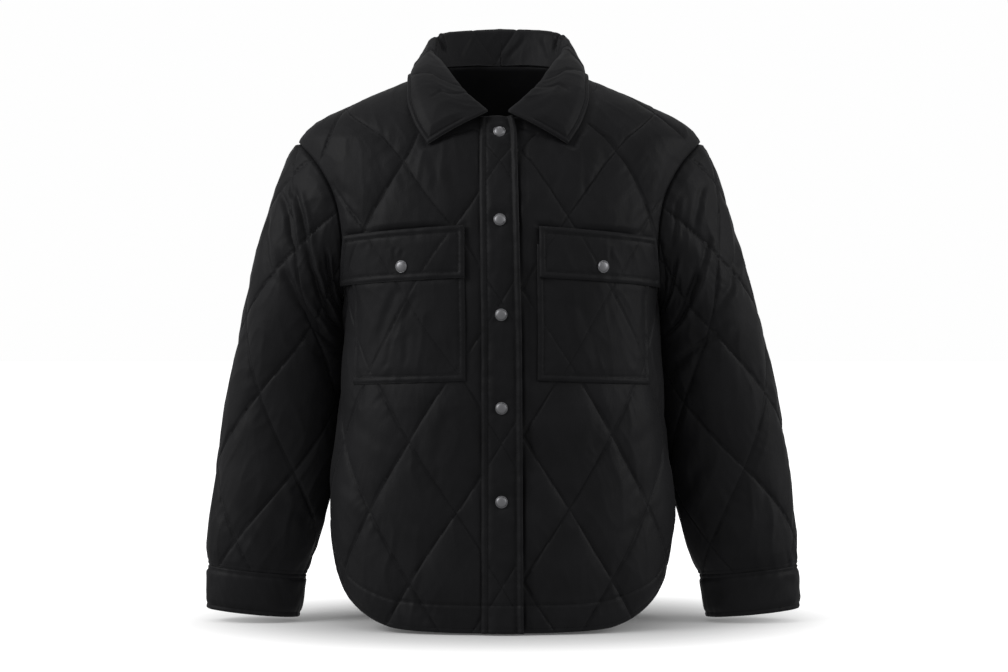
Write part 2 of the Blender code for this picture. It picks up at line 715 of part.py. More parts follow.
def panel(name, outline, place, low, high, material, quilting, covers=(), folds=(),
          inner_step=INNER_STEP, edge_step=EDGE_STEP, free=()):
    """A sewn piece from its flat outline: a wall between two heights above its form."""
    outline = refined(outline, edge_step)
    lines, points = quilt_lines(outline, quilting)
    for cover, _ in covers:
        edge = refined(cover, EDGE_STEP)
        lines += list(zip(edge, edge[1:] + edge[:1]))
    for fold in folds:
        lines += fold.rows()
        points = [p for p in points if fold.drop(*p) < fold.depth / 4]
    outline, stretches = clipped(lines, outline)
    points += list(free)
    flat, faces, rim = triangulated(outline, stretches, points)
    solid_points = []
    for p, q in flat:
        point, normal = place(p, q)
        lift = high + quilting.puff(p, q) * fade((p, q), outline, covers)
        lift -= max([fold.drop(p, q) for fold in folds], default=0.0)
        solid_points.append(point + normal * max(lift, low + THINNEST))
    inner_free = spread_points(outline, inner_step) + list(free)
    inner_flat, inner_faces, inner_rim = triangulated(outline, [], inner_free)
    start = len(solid_points)
    for p, q in inner_flat:
        point, normal = place(p, q)
        solid_points.append(point + normal * low)
    faces = [list(face) for face in faces]
    faces += [[start + i for i in reversed(face)] for face in inner_faces]
    count = len(outline)
    for i in range(count):
        j = (i + 1) % count
        faces.append([rim[j], rim[i], start + inner_rim[i], start + inner_rim[j]])
    return add_object(name, solid_points, faces, material)


def shell_from_rows(name, outer, inner, material, closed):
    """A wall between two grids of points; closed rows make a tube."""
    rows, across = len(outer), len(outer[0])
    points = [p for row in outer for p in row] + [p for row in inner for p in row]
    start = rows * across
    faces = []
    last = across if closed else across - 1
    for r in range(rows - 1):
        for c in range(last):
            d = (c + 1) % across
            quad = [r * across + c, r * across + d, (r + 1) * across + d, (r + 1) * across + c]
            faces.append(quad)
            faces.append([start + i for i in reversed(quad)])
    for r, flip in ((0, True), (rows - 1, False)):
        for c in range(last):
            d = (c + 1) % across
            quad = [r * across + c, r * across + d, start + r * across + d, start + r * across + c]
            faces.append(quad if flip else quad[::-1])
    if not closed:
        for r in range(rows - 1):
            for c in (0, across - 1):
                i, j = r * across + c, (r + 1) * across + c
                faces.append([i, j, start + j, start + i])
    return add_object(name, points, faces, material)


# ---------------------------------------------------------------------------------------
# Placket, pockets and flaps: flat pieces laid on the fronts
# ---------------------------------------------------------------------------------------
PLACKET_LEFT_EDGE = -0.0245
PLACKET_FREE_EDGE = table("z run", (-0.0720, 0.0170), (-0.090, 0.0212), (-0.30, 0.0240), (-0.70, 0.0265))
PLACKET_WALL = 0.0024
PLACKET_PUFF = 0.0020
POCKET_WALL = 0.0020
POCKET_PUFF = 0.0030
FLAP_PUFF = 0.0026
POCKET_LOW = LAY_GAP
POCKET_HIGH = LAY_GAP + POCKET_WALL
FLAP_LOW = POCKET_HIGH + LAY_GAP
FLAP_HIGH = FLAP_LOW + POCKET_WALL
PLACKET_LOW = LAY_GAP
PLACKET_HIGH = LAY_GAP + PLACKET_WALL

# Corners as seen from the front; the two pockets aren't sewn on quite evenly.
FLAP_CORNERS = table(
    "side  x  z",
    (-1, 0.0425, -0.2068), (-1, 0.0432, -0.2712), (-1, 0.1952, -0.2785), (-1, 0.1905, -0.2170),
    (1, 0.0474, -0.2086), (1, 0.0469, -0.2711), (1, 0.1930, -0.2803), (1, 0.1892, -0.2192),
)
POCKET_CORNERS = table(
    "side  x  z",
    (-1, 0.0434, -0.2300), (-1, 0.0434, -0.3960), (-1, 0.1832, -0.4015), (-1, 0.1870, -0.2400),
    (1, 0.0445, -0.2300), (1, 0.0434, -0.3960), (1, 0.1822, -0.4015), (1, 0.1870, -0.2400),
)


def corner_outline(corners, side):
    """A four-sided piece on a front."""
    return [
        (side * run_at_x(x, z), cut_height(z)) for own, x, z in zip(*corners.values()) if own == side
    ]


def placket_outline():
    free_edge = curve(PLACKET_FREE_EDGE["z"], PLACKET_FREE_EDGE["run"])
    top = PLACKET_FREE_EDGE["z"][0]
    bottom = hem_z(0.0)
    heights = np.linspace(top, bottom, 30)
    points = [(PLACKET_LEFT_EDGE, cut_height(z)) for z in heights]
    points += [(free_edge(z), cut_height(z)) for z in reversed(heights)]
    return points


# ---------------------------------------------------------------------------------------
# Collar: a stand that rises from the neck seam, a roll, and a fall that lies over it
# ---------------------------------------------------------------------------------------
COLLAR_WALL = 0.0030
COLLAR_ROLL = 0.0040     # radius of the roll, at the middle of the cloth
COLLAR_REST = 0.0036     # the middle of the fall's edge above the panel it lies on
COLLAR_CLEARANCE = 0.0013    # between the stand and the neck edge that it is sewn to
COLLAR_STATIONS = 35
COLLAR_LEAN = -0.0045    # the front of the collar sits this far to the wearer's right
COLLAR = table(
    # share of the way forward; the neck seam; the top of the roll; the edge of the fall
    "share  neck_x  neck_z   roll_x  roll_y  roll_z   edge_x  edge_z  bulge",
    (0.00, 0.0000, 0.0080, 0.0000, 0.0680, 0.0540, 0.0000, -0.0120, 0.006),
    (0.18, 0.0300, 0.0074, 0.0360, 0.0645, 0.0525, 0.0450, -0.0130, 0.006),
    (0.34, 0.0550, 0.0048, 0.0690, 0.0490, 0.0475, 0.0870, -0.0165, 0.006),
    (0.48, 0.0715, 0.0019, 0.0850, 0.0240, 0.0350, 0.1080, -0.0185, 0.004),
    (0.60, 0.0785, 0.0000, 0.0850, -0.0010, 0.0195, 0.1140, -0.0163, 0.002),
    (0.70, 0.0763, -0.0085, 0.0722, -0.0330, 0.0005, 0.1145, -0.0300, 0.003),
    (0.80, 0.0660, -0.0240, 0.0590, -0.0605, -0.0190, 0.1145, -0.0490, 0.004),
    (0.90, 0.0460, -0.0475, 0.0385, -0.0840, -0.0430, 0.1060, -0.0780, 0.004),
    (1.00, 0.0228, -0.0686, 0.0125, -0.0975, -0.0655, 0.0885, -0.1075, 0.004),
)
collar_at = {
    name: curve(COLLAR["share"], values) for name, values in COLLAR.items() if name != "share"
}
SIDE_SHARE = 0.60        # the station on the shoulder seam


def body_point(x, z, back, lift):
    point, normal = on_body(run_at_x(x, z, back), z, back)
    return point + normal * lift, normal


def collar_section(share, side):
    """The middle of the cloth at one station, from the neck seam over the roll to the edge."""
    at = {name: column(share) for name, column in collar_at.items()}
    back = share < SIDE_SHARE
    neck, _ = body_point(at["neck_x"], at["neck_z"], back, -WALL / 2)
    edge, edge_normal = body_point(at["edge_x"], at["edge_z"], back, COLLAR_REST)
    roll = np.array((at["roll_x"], at["roll_y"], at["roll_z"]))
    up = unit(roll - (neck + edge) / 2)
    out = edge - neck
    out = unit(out - up * (out @ up))
    centre = roll - up * COLLAR_ROLL
    start = neck + unit(centre - out * COLLAR_ROLL - neck) * (COLLAR_WALL / 2 + COLLAR_CLEARANCE)
    stand_top = centre - out * COLLAR_ROLL
    fall_top = centre + out * COLLAR_ROLL
    points = [start, start * 0.5 + stand_top * 0.5, stand_top]
    points += [
        centre + COLLAR_ROLL * (up * math.sin(a) - out * math.cos(a))
        for a in np.radians((45, 90, 135))
    ]
    points.append(fall_top)
    for part in (0.3, 0.6, 0.85):
        bulge = at["bulge"] * 4 * part * (1 - part)
        points.append(fall_top + (edge - fall_top) * part + edge_normal * bulge)
    points.append(edge)
    lean = COLLAR_LEAN * min(1.0, share / SIDE_SHARE)
    for point in points:
        point[0] = side * point[0]
    return [point + np.array((lean if share > 0 else 0.0, 0.0, 0.0)) for point in points]


def collar(material):
    shares = np.linspace(-1, 1, COLLAR_STATIONS)
    middle = np.array([collar_section(abs(s), 1 if s >= 0 else -1) for s in shares])
    lengthways = np.gradient(middle, axis=0)
    across = np.gradient(middle, axis=1)
    normals = np.cross(across, lengthways)
    normals /= np.linalg.norm(normals, axis=2)[:, :, None]
    outer = middle + normals * COLLAR_WALL / 2
    inner = middle - normals * COLLAR_WALL / 2
    return shell_from_rows("collar", outer, inner, material, closed=False)


# ---------------------------------------------------------------------------------------
# Cuffs and snaps
# ---------------------------------------------------------------------------------------
CUFF_WALL = 0.0030
CUFF_AROUND = 32


def cuff(name, side, material):
    place = on_sleeve(side)
    outer, inner = [], []
    for down in np.linspace(SLEEVE_LENGTH + SEAM_GAP, SLEEVE_LENGTH + CUFF_HEIGHT, 3):
        ring = [place(math.tau * i / CUFF_AROUND * SLEEVE_RADIUS, -down) for i in range(CUFF_AROUND)]
        outer.append([point for point, _ in ring])
        inner.append([point - normal * CUFF_WALL for point, normal in ring])
    return shell_from_rows(name, outer, inner, material, closed=True)


SNAP_RADIUS = 0.0075
SNAP_SIDES = 16
SNAP_PROFILE = table(
    "radius  rise",
    (1.00, 0.0000), (1.00, 0.0009), (0.88, 0.0021), (0.55, 0.0030),
)
SNAP_HEIGHTS = (-0.0915, -0.2007, -0.3158, -0.4291, -0.5427)
SNAP_FLAT = 0.0125       # the cloth is pressed flat this far round a snap
POCKET_SNAPS = {-1: (0.1187, -0.2570), 1: (0.1233, -0.2570)}


def snap(name, point, normal, material):
    """A domed cap, seated on the cloth with its flat face down."""
    seat = Vector(point)
    turn = Vector((0, 0, 1)).rotation_difference(Vector(normal))
    points, faces = [Vector((0, 0, 0))], []
    for radius, rise in zip(SNAP_PROFILE["radius"], SNAP_PROFILE["rise"]):
        for i in range(SNAP_SIDES):
            angle = math.tau * i / SNAP_SIDES
            across = radius * SNAP_RADIUS
            points.append(Vector((across * math.cos(angle), across * math.sin(angle), rise)))
    points.append(Vector((0, 0, SNAP_PROFILE["rise"][-1] + 0.0002)))
    rings = len(SNAP_PROFILE["radius"])
    for i in range(SNAP_SIDES):
        j = (i + 1) % SNAP_SIDES
        faces.append([0, 1 + j, 1 + i])
        for ring in range(rings - 1):
            low, high = 1 + ring * SNAP_SIDES, 1 + (ring + 1) * SNAP_SIDES
            faces.append([low + i, low + j, high + j, high + i])
        top = 1 + (rings - 1) * SNAP_SIDES
        faces.append([top + i, top + j, len(points) - 1])
    return add_object(name, [seat + turn @ p for p in points], faces, material)


def disc(p, q, radius):
    """A round outline on a piece's flat cut."""
    return [
        (p + radius * math.cos(a), q + radius * math.sin(a)) for a in np.radians(range(0, 360, 30))
    ]


# ---------------------------------------------------------------------------------------
# The jacket
# ---------------------------------------------------------------------------------------
def finish(name, colour, roughness, metallic=0.0):
    material = bpy.data.materials.new(name)
    material.use_nodes = True
    shader = material.node_tree.nodes["Principled BSDF"]
    shader.inputs["Base Color"].default_value = (*colour, 1.0)
    shader.inputs["Roughness"].default_value = roughness
    shader.inputs["Metallic"].default_value = metallic
    material.diffuse_color = (*colour, 1.0)
    return material


def collar_cover(back):
    """The part of a front or back that lies under the collar."""
    rows = [
        i for i, share in enumerate(COLLAR["share"]) if (share <= SIDE_SHARE) == back
        or share == SIDE_SHARE
    ]
    edge = [(COLLAR["edge_x"][i] + 0.006, COLLAR["edge_z"][i] - 0.006) for i in rows]
    if back:
        points = [(run_at_x(x, z, True), cut_height(z)) for x, z in edge]
        top = cut_height(0.012)
        return [(-p, q) for p, q in reversed(points)] + points + [(0.2, top), (-0.2, top)]
    points = [(run_at_x(x, z), cut_height(z)) for x, z in edge]
    start = (0.0, cut_height(-0.0775))
    return [start] + list(reversed(points)) + [(0.2, cut_height(0.012)), (0.0, cut_height(0.012))]


def mirrored(outline, side):
    return [(side * p, q) for p, q in outline]


def side_ease(side_length, sign, reach):
    """Where the arm hangs against the body, the body is pressed flatter."""
    top, bottom = cut_height(-0.31), cut_height(-0.51)
    near, far = sign * (side_length - reach), sign * (side_length + 0.03)
    return [(near, top), (far, top), (far, bottom), (near, bottom)]


def sleeve_ease(side):
    """Where the arm hangs against the body, behind the seam under the arm, it is flatter too."""
    seam = side * math.pi * SLEEVE_RADIUS
    near, far = side * 0.050 - seam, -seam - side * 0.01
    top, bottom = 0.03 - CAP_LENGTH, -0.15 - CAP_LENGTH
    return [(near, top), (far, top), (far, bottom), (near, bottom)]


# How far beyond what covers a panel its puffs reach their full height.
NEAR_FADE = 0.012
POCKET_FADE = 0.015
ARM_FADE = 0.040
ARM_HEIGHT = -0.40       # where the arms hang nearest to the body
# Spacing of the points in the plain inner faces of the curved and the small pieces.
SLEEVE_INNER_STEP = 0.030
PLACKET_INNER_STEP = 0.024
PATCH_INNER_STEP = 0.0155
PATCH_EDGE_STEP = 0.012


def main():
    for piece in list(bpy.data.objects):
        bpy.data.objects.remove(piece, do_unlink=True)
    jacket = bpy.data.objects.new("jacket", None)
    bpy.context.collection.objects.link(jacket)
    nylon = finish("black_nylon", (0.013, 0.013, 0.014), 0.50)
    metal = finish("gunmetal", (0.09, 0.09, 0.10), 0.32, 1.0)

    placket = placket_outline()
    for side, name in ((-1, "right"), (1, "left")):
        flap = corner_outline(FLAP_CORNERS, side)
        pocket = corner_outline(POCKET_CORNERS, side)
        covers = [
            (grown(placket, COVER_MARGIN), NEAR_FADE), (grown(flap, COVER_MARGIN), POCKET_FADE),
            (grown(pocket, COVER_MARGIN), POCKET_FADE),
            (mirrored(collar_cover(False), side), NEAR_FADE),
            (side_ease(side_run(ARM_HEIGHT), side, 0.020), ARM_FADE),
        ]
        panel(f"front_{name}", front_outline(side), on_front, -WALL, 0.0, nylon,
              front_quilting(side), covers)
        snap_x, snap_z = POCKET_SNAPS[side]
        snap_place = (side * run_at_x(snap_x, snap_z), cut_height(snap_z))
        panel(f"pocket_{name}", pocket, on_front, POCKET_LOW, POCKET_HIGH, nylon,
              front_quilting(side, POCKET_PUFF), [(grown(flap, COVER_MARGIN), NEAR_FADE)],
              inner_step=PATCH_INNER_STEP, edge_step=PATCH_EDGE_STEP)
        panel(f"pocket_flap_{name}", flap, on_front, FLAP_LOW, FLAP_HIGH, nylon,
              front_quilting(side, FLAP_PUFF), [(disc(*snap_place, SNAP_FLAT), NEAR_FADE)],
              inner_step=PATCH_INNER_STEP, edge_step=PATCH_EDGE_STEP)
        point, normal = on_front(*snap_place)
        snap(f"pocket_snap_{name}", point + normal * (FLAP_HIGH + SEAM_GAP), normal, metal)

        outermost = [(0.0, -down) for down in np.arange(0.03, SLEEVE_LENGTH - 0.01, 0.026)]
        panel(f"sleeve_{name}", sleeve_outline(), on_sleeve(side), -WALL, 0.0, nylon,
              sleeve_quilting(side), [(sleeve_ease(side), ARM_FADE)], sleeve_folds(side),
              inner_step=SLEEVE_INNER_STEP, free=outermost)
        cuff(f"cuff_{name}", side, nylon)

    back_quilting = Quilting(0.0, -0.1265)
    back_covers = [(collar_cover(True), NEAR_FADE)]
    back_covers += [
        (side_ease(side_run(ARM_HEIGHT, True), sign, 0.060), ARM_FADE) for sign in (1, -1)
    ]
    panel("back", back_outline(), on_back, -WALL, 0.0, nylon, back_quilting, back_covers)

    snaps = [(0.0, cut_height(z)) for z in SNAP_HEIGHTS]
    placket_quilting = Quilting(0.0, -0.1265, height=PLACKET_PUFF)
    snap_covers = [(disc(p, q, SNAP_FLAT), NEAR_FADE) for p, q in snaps]
    panel("front_placket", placket, on_front, PLACKET_LOW, PLACKET_HIGH, nylon, placket_quilting,
          snap_covers, inner_step=PLACKET_INNER_STEP)
    for i, (p, q) in enumerate(snaps):
        point, normal = on_front(p, q)
        snap(f"snap_{i + 1}", point + normal * (PLACKET_HIGH + SEAM_GAP), normal, metal)

    collar(nylon)


main()
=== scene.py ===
"""The look of the quilted jacket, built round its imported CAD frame.

Metres, +Z up, the front faces -Y, and the wearer's left is +X. Each sewn piece is a thin closed
shell on the same form as its CAD solid, but with far finer points: quilting with its puckered
stitches, topstitching, gathers, creases and wrinkles are all moves of those points.

A place on the body's cloth is (p, q): the length round the body from its middle line, and the
height on the cut, where the shoulders lie flat. On a sleeve, p runs round it from its outermost
line, and q is minus the length down from the armhole.
"""
import math

import bpy
import numpy as np
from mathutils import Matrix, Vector
from mathutils.geometry import delaunay_2d_cdt
from mathutils.kdtree import KDTree


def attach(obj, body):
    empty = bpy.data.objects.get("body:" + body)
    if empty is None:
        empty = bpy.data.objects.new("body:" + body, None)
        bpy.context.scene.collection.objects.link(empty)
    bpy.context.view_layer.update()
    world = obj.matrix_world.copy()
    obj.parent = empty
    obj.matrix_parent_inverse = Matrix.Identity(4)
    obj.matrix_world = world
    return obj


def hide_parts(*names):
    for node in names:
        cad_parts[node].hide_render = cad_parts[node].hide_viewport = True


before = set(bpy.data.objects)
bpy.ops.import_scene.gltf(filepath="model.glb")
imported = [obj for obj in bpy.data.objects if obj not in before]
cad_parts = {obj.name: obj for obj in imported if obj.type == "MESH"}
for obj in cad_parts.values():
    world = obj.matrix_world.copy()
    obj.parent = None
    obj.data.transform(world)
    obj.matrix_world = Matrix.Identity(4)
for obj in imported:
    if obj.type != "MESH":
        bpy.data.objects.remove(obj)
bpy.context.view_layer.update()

STEP = 0.0023       # spacing of the points on the show side of the cloth
INNER_STEP = 0.0075                      # and on its inner side
FINE_STEP = STEP * 0.85                  # and on the small pieces laid on the fronts


# ---- Small tools ----------------------------------------------------------------------
def table(header, *rows):
    """The columns of a short table, by name."""
    return {name: [row[i] for row in rows] for i, name in enumerate(header.split())}


def hermite(start, end, step, leaving, arriving, u):
    """A cubic from start to end over a step, with the given slopes at its ends."""
    return (
        start * (2 * u**3 - 3 * u**2 + 1) + end * (3 * u**2 - 2 * u**3)
        + step * (leaving * (u**3 - 2 * u**2 + u) + arriving * (u**3 - u**2))
    )


def curve(xs, ys):
    """A smooth curve through the points that never overshoots them, as a function of x."""
    order = np.argsort(xs)
    xs, ys = np.array(xs, float)[order], np.array(ys, float)[order]
    steps = np.diff(xs)
    slopes = np.diff(ys) / steps
    tangents = np.zeros_like(ys)
    tangents[0], tangents[-1] = slopes[0], slopes[-1]
    for i in range(1, len(xs) - 1):
        if slopes[i - 1] * slopes[i] > 0:
            before = 2 * steps[i] + steps[i - 1]
            after = steps[i] + 2 * steps[i - 1]
            tangents[i] = (before + after) / (before / slopes[i - 1] + after / slopes[i])

    def at(x):
        x = np.clip(np.asarray(x, float), xs[0], xs[-1])
        i = np.clip(np.searchsorted(xs, x) - 1, 0, len(steps) - 1)
        u = (x - xs[i]) / steps[i]
        return hermite(ys[i], ys[i + 1], steps[i], tangents[i], tangents[i + 1], u)

    return at


def curves(rows):
    """A smooth curve of every other column of a table over its first one."""
    (_, xs), *others = rows.items()
    return {name: curve(xs, ys) for name, ys in others}


def unit(vectors):
    vectors = np.asarray(vectors, float)
    return vectors / np.maximum(np.linalg.norm(vectors, axis=-1, keepdims=True), 1e-12)


def smooth(value, low, high):
    """0 below low, 1 above high, and a soft step between."""
    share = np.clip((np.asarray(value, float) - low) / (high - low), 0, 1)
    return share * share * (3 - 2 * share)


def bell(distance, width):
    """1 at no distance, dying out over about two widths."""
    return np.exp(-((distance / width) ** 2))


def beside(distance, reach, start):
    """0 on a line, 1 at most a little way off it, dying out over its reach."""
    return np.exp(-distance / reach) * (1 - np.exp(-distance / start))


def lengths_along(points, axis=0):
    """The length run so far at each point of a row, or of each row of a grid."""
    steps = np.linalg.norm(np.diff(points, axis=axis), axis=-1)
    return np.cumsum(np.insert(steps, 0, 0.0, axis=axis), axis=axis)


def at_lengths(line, run, lengths):
    """Points between those of a line, at given lengths of its run."""
    return np.stack([np.interp(lengths, run, column) for column in line.T], axis=-1)


SHUFFLE = np.random.default_rng(11).permutation(1024)


def noise(x, y, seed=0):
    """Smooth noise, about -1 to 1, with one hump to each unit of x and y."""
    x, y = np.broadcast_arrays(np.asarray(x, float), np.asarray(y, float))
    column, row = np.floor(x).astype(int), np.floor(y).astype(int)
    across, up = x - column, y - row
    total = np.zeros_like(across)
    ease = [share**3 * (share * (share * 6 - 15) + 10) for share in (across, up)]
    for i in (0, 1):
        for j in (0, 1):
            key = SHUFFLE[(SHUFFLE[(column + i + 37 * seed) & 1023] + row + j) & 1023]
            angle = key * (math.tau / 1024)
            slope = np.cos(angle) * (across - i) + np.sin(angle) * (up - j)
            weight = (ease[0] if i else 1 - ease[0]) * (ease[1] if j else 1 - ease[1])
            total += weight * slope
    return total * 1.6


def ridged(x, y, seed=0):
    """Noise with narrow ridges between broad troughs, 0 to 1, as thin cloth wrinkles."""
    return np.clip(1 - 2.2 * np.abs(noise(x, y, seed)), 0, 1) ** 2


# ---- The body form: a stack of horizontal rings ---------------------------------------
WALL = 0.0020
SEAM_GAP = 0.0003
LAY_GAP = 0.0008         # under a piece that is laid on a panel
ARMHOLE_GAP = 0.0010

WIDTHS = table(
    "z     half_width",
    (0.012, 0.055), (0.008, 0.066), (0.004, 0.073), (0.0, 0.079), (-0.0265, 0.135),
    (-0.042, 0.171), (-0.057, 0.203), (-0.072, 0.231), (-0.085, 0.2475), (-0.097, 0.2545),
    (-0.13, 0.2485), (-0.18, 0.232), (-0.235, 0.2145), (-0.27, 0.204), (-0.292, 0.199),
    (-0.334, 0.197), (-0.41, 0.202), (-0.47, 0.207), (-0.52, 0.2135), (-0.56, 0.216),
    (-0.6, 0.216), (-0.7, 0.214), (-0.75, 0.2125),
)
DEPTHS = table(
    "z     front   back",
    (0.012, 0.034, 0.053), (0.0, 0.041, 0.062), (-0.02, 0.057, 0.073), (-0.05, 0.077, 0.089),
    (-0.07, 0.087, 0.098), (-0.1, 0.1, 0.109), (-0.15, 0.117, 0.122), (-0.2, 0.129, 0.129),
    (-0.25, 0.136, 0.131), (-0.3, 0.139, 0.129), (-0.4, 0.138, 0.121), (-0.5, 0.138, 0.118),
    (-0.6, 0.142, 0.122), (-0.7, 0.146, 0.129), (-0.75, 0.148, 0.132),
)
half_width = curves(WIDTHS)["half_width"]
depth_curves = curves(DEPTHS)
squareness = curve([0.0, -0.10, -0.30, -0.75], [2.1, 2.2, 2.35, 2.4])
lean_at = curve([-0.34, -0.25, -0.12, 0.0], [0.0, -0.0015, -0.0028, -0.0020])

RISE = table(
    "z     cut",
    (-0.8, -0.8), (-0.13, -0.13), (-0.097, -0.085), (-0.05, 0.015), (0.0, 0.09), (0.02, 0.115),
)
RING_TURNS = np.linspace(0, math.pi / 2, 361)
RING_ZS = np.linspace(-0.76, 0.0125, 560)
RING_SHARES = np.linspace(0, 1, 241)


def cut_height(z):
    return np.interp(z, RISE["z"], RISE["cut"])


def height(cut):
    return np.interp(cut, RISE["cut"], RISE["z"])


def depth_at(z, back):
    return depth_curves["back" if back else "front"](z)


def half_ring(z, back):
    """One side of a horizontal section, from the middle line to the side: x, y, length."""
    power = 2 / squareness(z)
    x = half_width(z) * np.sin(RING_TURNS) ** power
    y = depth_at(z, back) * (1 if back else -1) * np.cos(RING_TURNS) ** power
    return x, y, np.concatenate([[0.0], np.cumsum(np.hypot(np.diff(x), np.diff(y)))])


def ring_tables(back):
    """For each height, the section's x and y at even shares of its length, and that length."""
    xs, ys, lengths = [], [], []
    for z in RING_ZS:
        x, y, run = half_ring(z, back)
        xs.append(np.interp(RING_SHARES * run[-1], run, x) / x[-1])
        ys.append(np.interp(RING_SHARES * run[-1], run, y) / y[0])
        lengths.append(run[-1])
    return np.array(xs), np.array(ys), np.array(lengths)


RINGS = {back: ring_tables(back) for back in (False, True)}


def side_run(z, back=False):
    return np.interp(z, RING_ZS, RINGS[back][2])


def run_at_x(x, z, back=False):
    xs, _, run = half_ring(z, back)
    return math.copysign(float(np.interp(abs(x), xs, run)), x)


def run_at_y(y, z, back=False):
    _, ys, run = half_ring(z, back)
    return float(np.interp(-abs(y), -np.abs(ys), run))


def on_cut(x, z, back=False):
    """The place on the cut of what is seen at x and z."""
    return run_at_x(x, z, back), cut_height(z)


def between(grid, row, column):
    """A grid's values between its points."""
    i = np.clip(row.astype(int), 0, grid.shape[0] - 2)
    j = np.clip(column.astype(int), 0, grid.shape[1] - 2)
    u, v = row - i, column - j
    low = grid[i, j] * (1 - v) + grid[i, j + 1] * v
    high = grid[i + 1, j] * (1 - v) + grid[i + 1, j + 1] * v
    return low * (1 - u) + high * u


def on_body(run, z, back=False):
    """Points of the body form at lengths round its sections, and the outward normals there."""
    run, z = np.broadcast_arrays(np.asarray(run, float), np.asarray(z, float))
    row = (z - RING_ZS[0]) / (RING_ZS[1] - RING_ZS[0])
    column = np.clip(np.abs(run) / side_run(z, back), 0, 1) * (len(RING_SHARES) - 1)
    power, width, depth, step = squareness(z), half_width(z), depth_at(z, back), 0.001
    across, along = (np.clip(between(grid, row, column), 0, 1) for grid in RINGS[back][:2])
    width_slope = (half_width(z + step) - half_width(z - step)) / (2 * step)
    depth_slope = (depth_at(z + step, back) - depth_at(z - step, back)) / (2 * step)
    side, face = np.where(run < 0, -1.0, 1.0), 1.0 if back else -1.0
    normal = unit(np.stack([
        side * across ** (power - 1) / width,
        face * along ** (power - 1) / depth,
        -(across**power * width_slope / width + along**power * depth_slope / depth),
    ], axis=-1))
    point = np.stack([side * across * width + lean_at(z), face * along * depth, z], axis=-1)
    return point, normal


def on_front(p, q):
    return on_body(p, height(q))


def on_back(p, q):
    return on_body(p, height(q), back=True)


# ---- Outlines of the body pieces, on the cut ------------------------------------------
ARMHOLE_MIDDLE = -0.1945
ARMHOLE_HALF_HEIGHT = 0.0975
ARMHOLE_HALF_DEPTH = 0.0705
ARMHOLE_TURNS = np.linspace(0, math.tau, 121)
SHOULDER_Z = ARMHOLE_MIDDLE + ARMHOLE_HALF_HEIGHT
UNDERARM_Z = ARMHOLE_MIDDLE - ARMHOLE_HALF_HEIGHT
HEM = table(
    "part_of_side  z",
    (0.0, -0.7015), (0.15, -0.7012), (0.3, -0.7003), (0.45, -0.6975), (0.53, -0.6915),
    (0.6, -0.683), (0.7, -0.6655), (0.77, -0.6475), (0.82, -0.629), (0.87, -0.608),
    (0.93, -0.59), (1.0, -0.58),
)
hem_z = curves(HEM)["z"]
MIDDLE_HEM_CUT = cut_height(hem_z(0.0))
NECK_FRONT = table(
    "x      z",
    (0.0203, -0.0705), (0.034, -0.06), (0.046, -0.0475), (0.057, -0.035), (0.066, -0.024),
    (0.0735, -0.013), (0.0775, -0.006),
)
NECK_BACK = table(
    "x z", (0.0, 0.008), (0.02, 0.0078), (0.04, 0.0066), (0.06, 0.004), (0.072, 0.0018),
)
FRONTS_MEET = -0.017
HEM_CLEAR = 0.004        # no hem point lies closer than this to the edge at the middle front


def armhole_point(turn, side):
    z = ARMHOLE_MIDDLE + ARMHOLE_HALF_HEIGHT * math.cos(turn)
    run = run_at_y(ARMHOLE_HALF_DEPTH * math.sin(turn), z, turn > math.pi)
    return side * run, z


def armhole_line(side, back):
    """The armhole's edge of a front or back, on the cut."""
    turns = ARMHOLE_TURNS[ARMHOLE_TURNS >= math.pi if back else ARMHOLE_TURNS <= math.pi]
    return np.array([(run, cut_height(z)) for run, z in (armhole_point(t, side) for t in turns)])


def hem_outline(back):
    """The curved hem of one half, from the middle to the side seam, by lengths and heights."""
    return [(part * side_run(hem_z(part), back), hem_z(part)) for part in np.linspace(0, 1, 65)]


def side_outline(back):
    """The wearer's-left edge of a front or back: hem, side seam, armhole and shoulder seam."""
    points = hem_outline(back)[:-1]
    points += [(side_run(z, back), z) for z in np.linspace(hem_z(1.0), UNDERARM_Z, 30)]
    turns = ARMHOLE_TURNS[(ARMHOLE_TURNS > 0) & (ARMHOLE_TURNS < math.pi - 1e-6)]
    points += [armhole_point(math.tau - turn if back else turn, 1) for turn in turns[::-1]]
    points += [(side_run(z, back), z) for z in np.linspace(SHOULDER_Z, 0.0, 24)]
    return [(min(run, side_run(z, back) - SEAM_GAP / 2), cut_height(z)) for run, z in points]


def front_outline(side):
    meet = side * FRONTS_MEET + SEAM_GAP / 2
    points = [point for point in side_outline(False) if point[0] > meet + HEM_CLEAR]
    points += [on_cut(x, z) for x, z in reversed(list(zip(*NECK_FRONT.values())))]
    top = cut_height(NECK_FRONT["z"][0])
    points += [(meet, cut) for cut in np.linspace(top, MIDDLE_HEM_CUT, 36)]
    return [(side * run, cut) for run, cut in points]


def back_outline():
    half = side_outline(True)[1:]
    neck = list(zip(*NECK_BACK.values()))
    half += [on_cut(x, z, True) for x, z in reversed(neck[1:])]
    mirrored = [(-run, cut) for run, cut in reversed(half)]
    return half + [(0.0, cut_height(neck[0][1]))] + mirrored + [(0.0, MIDDLE_HEM_CUT)]


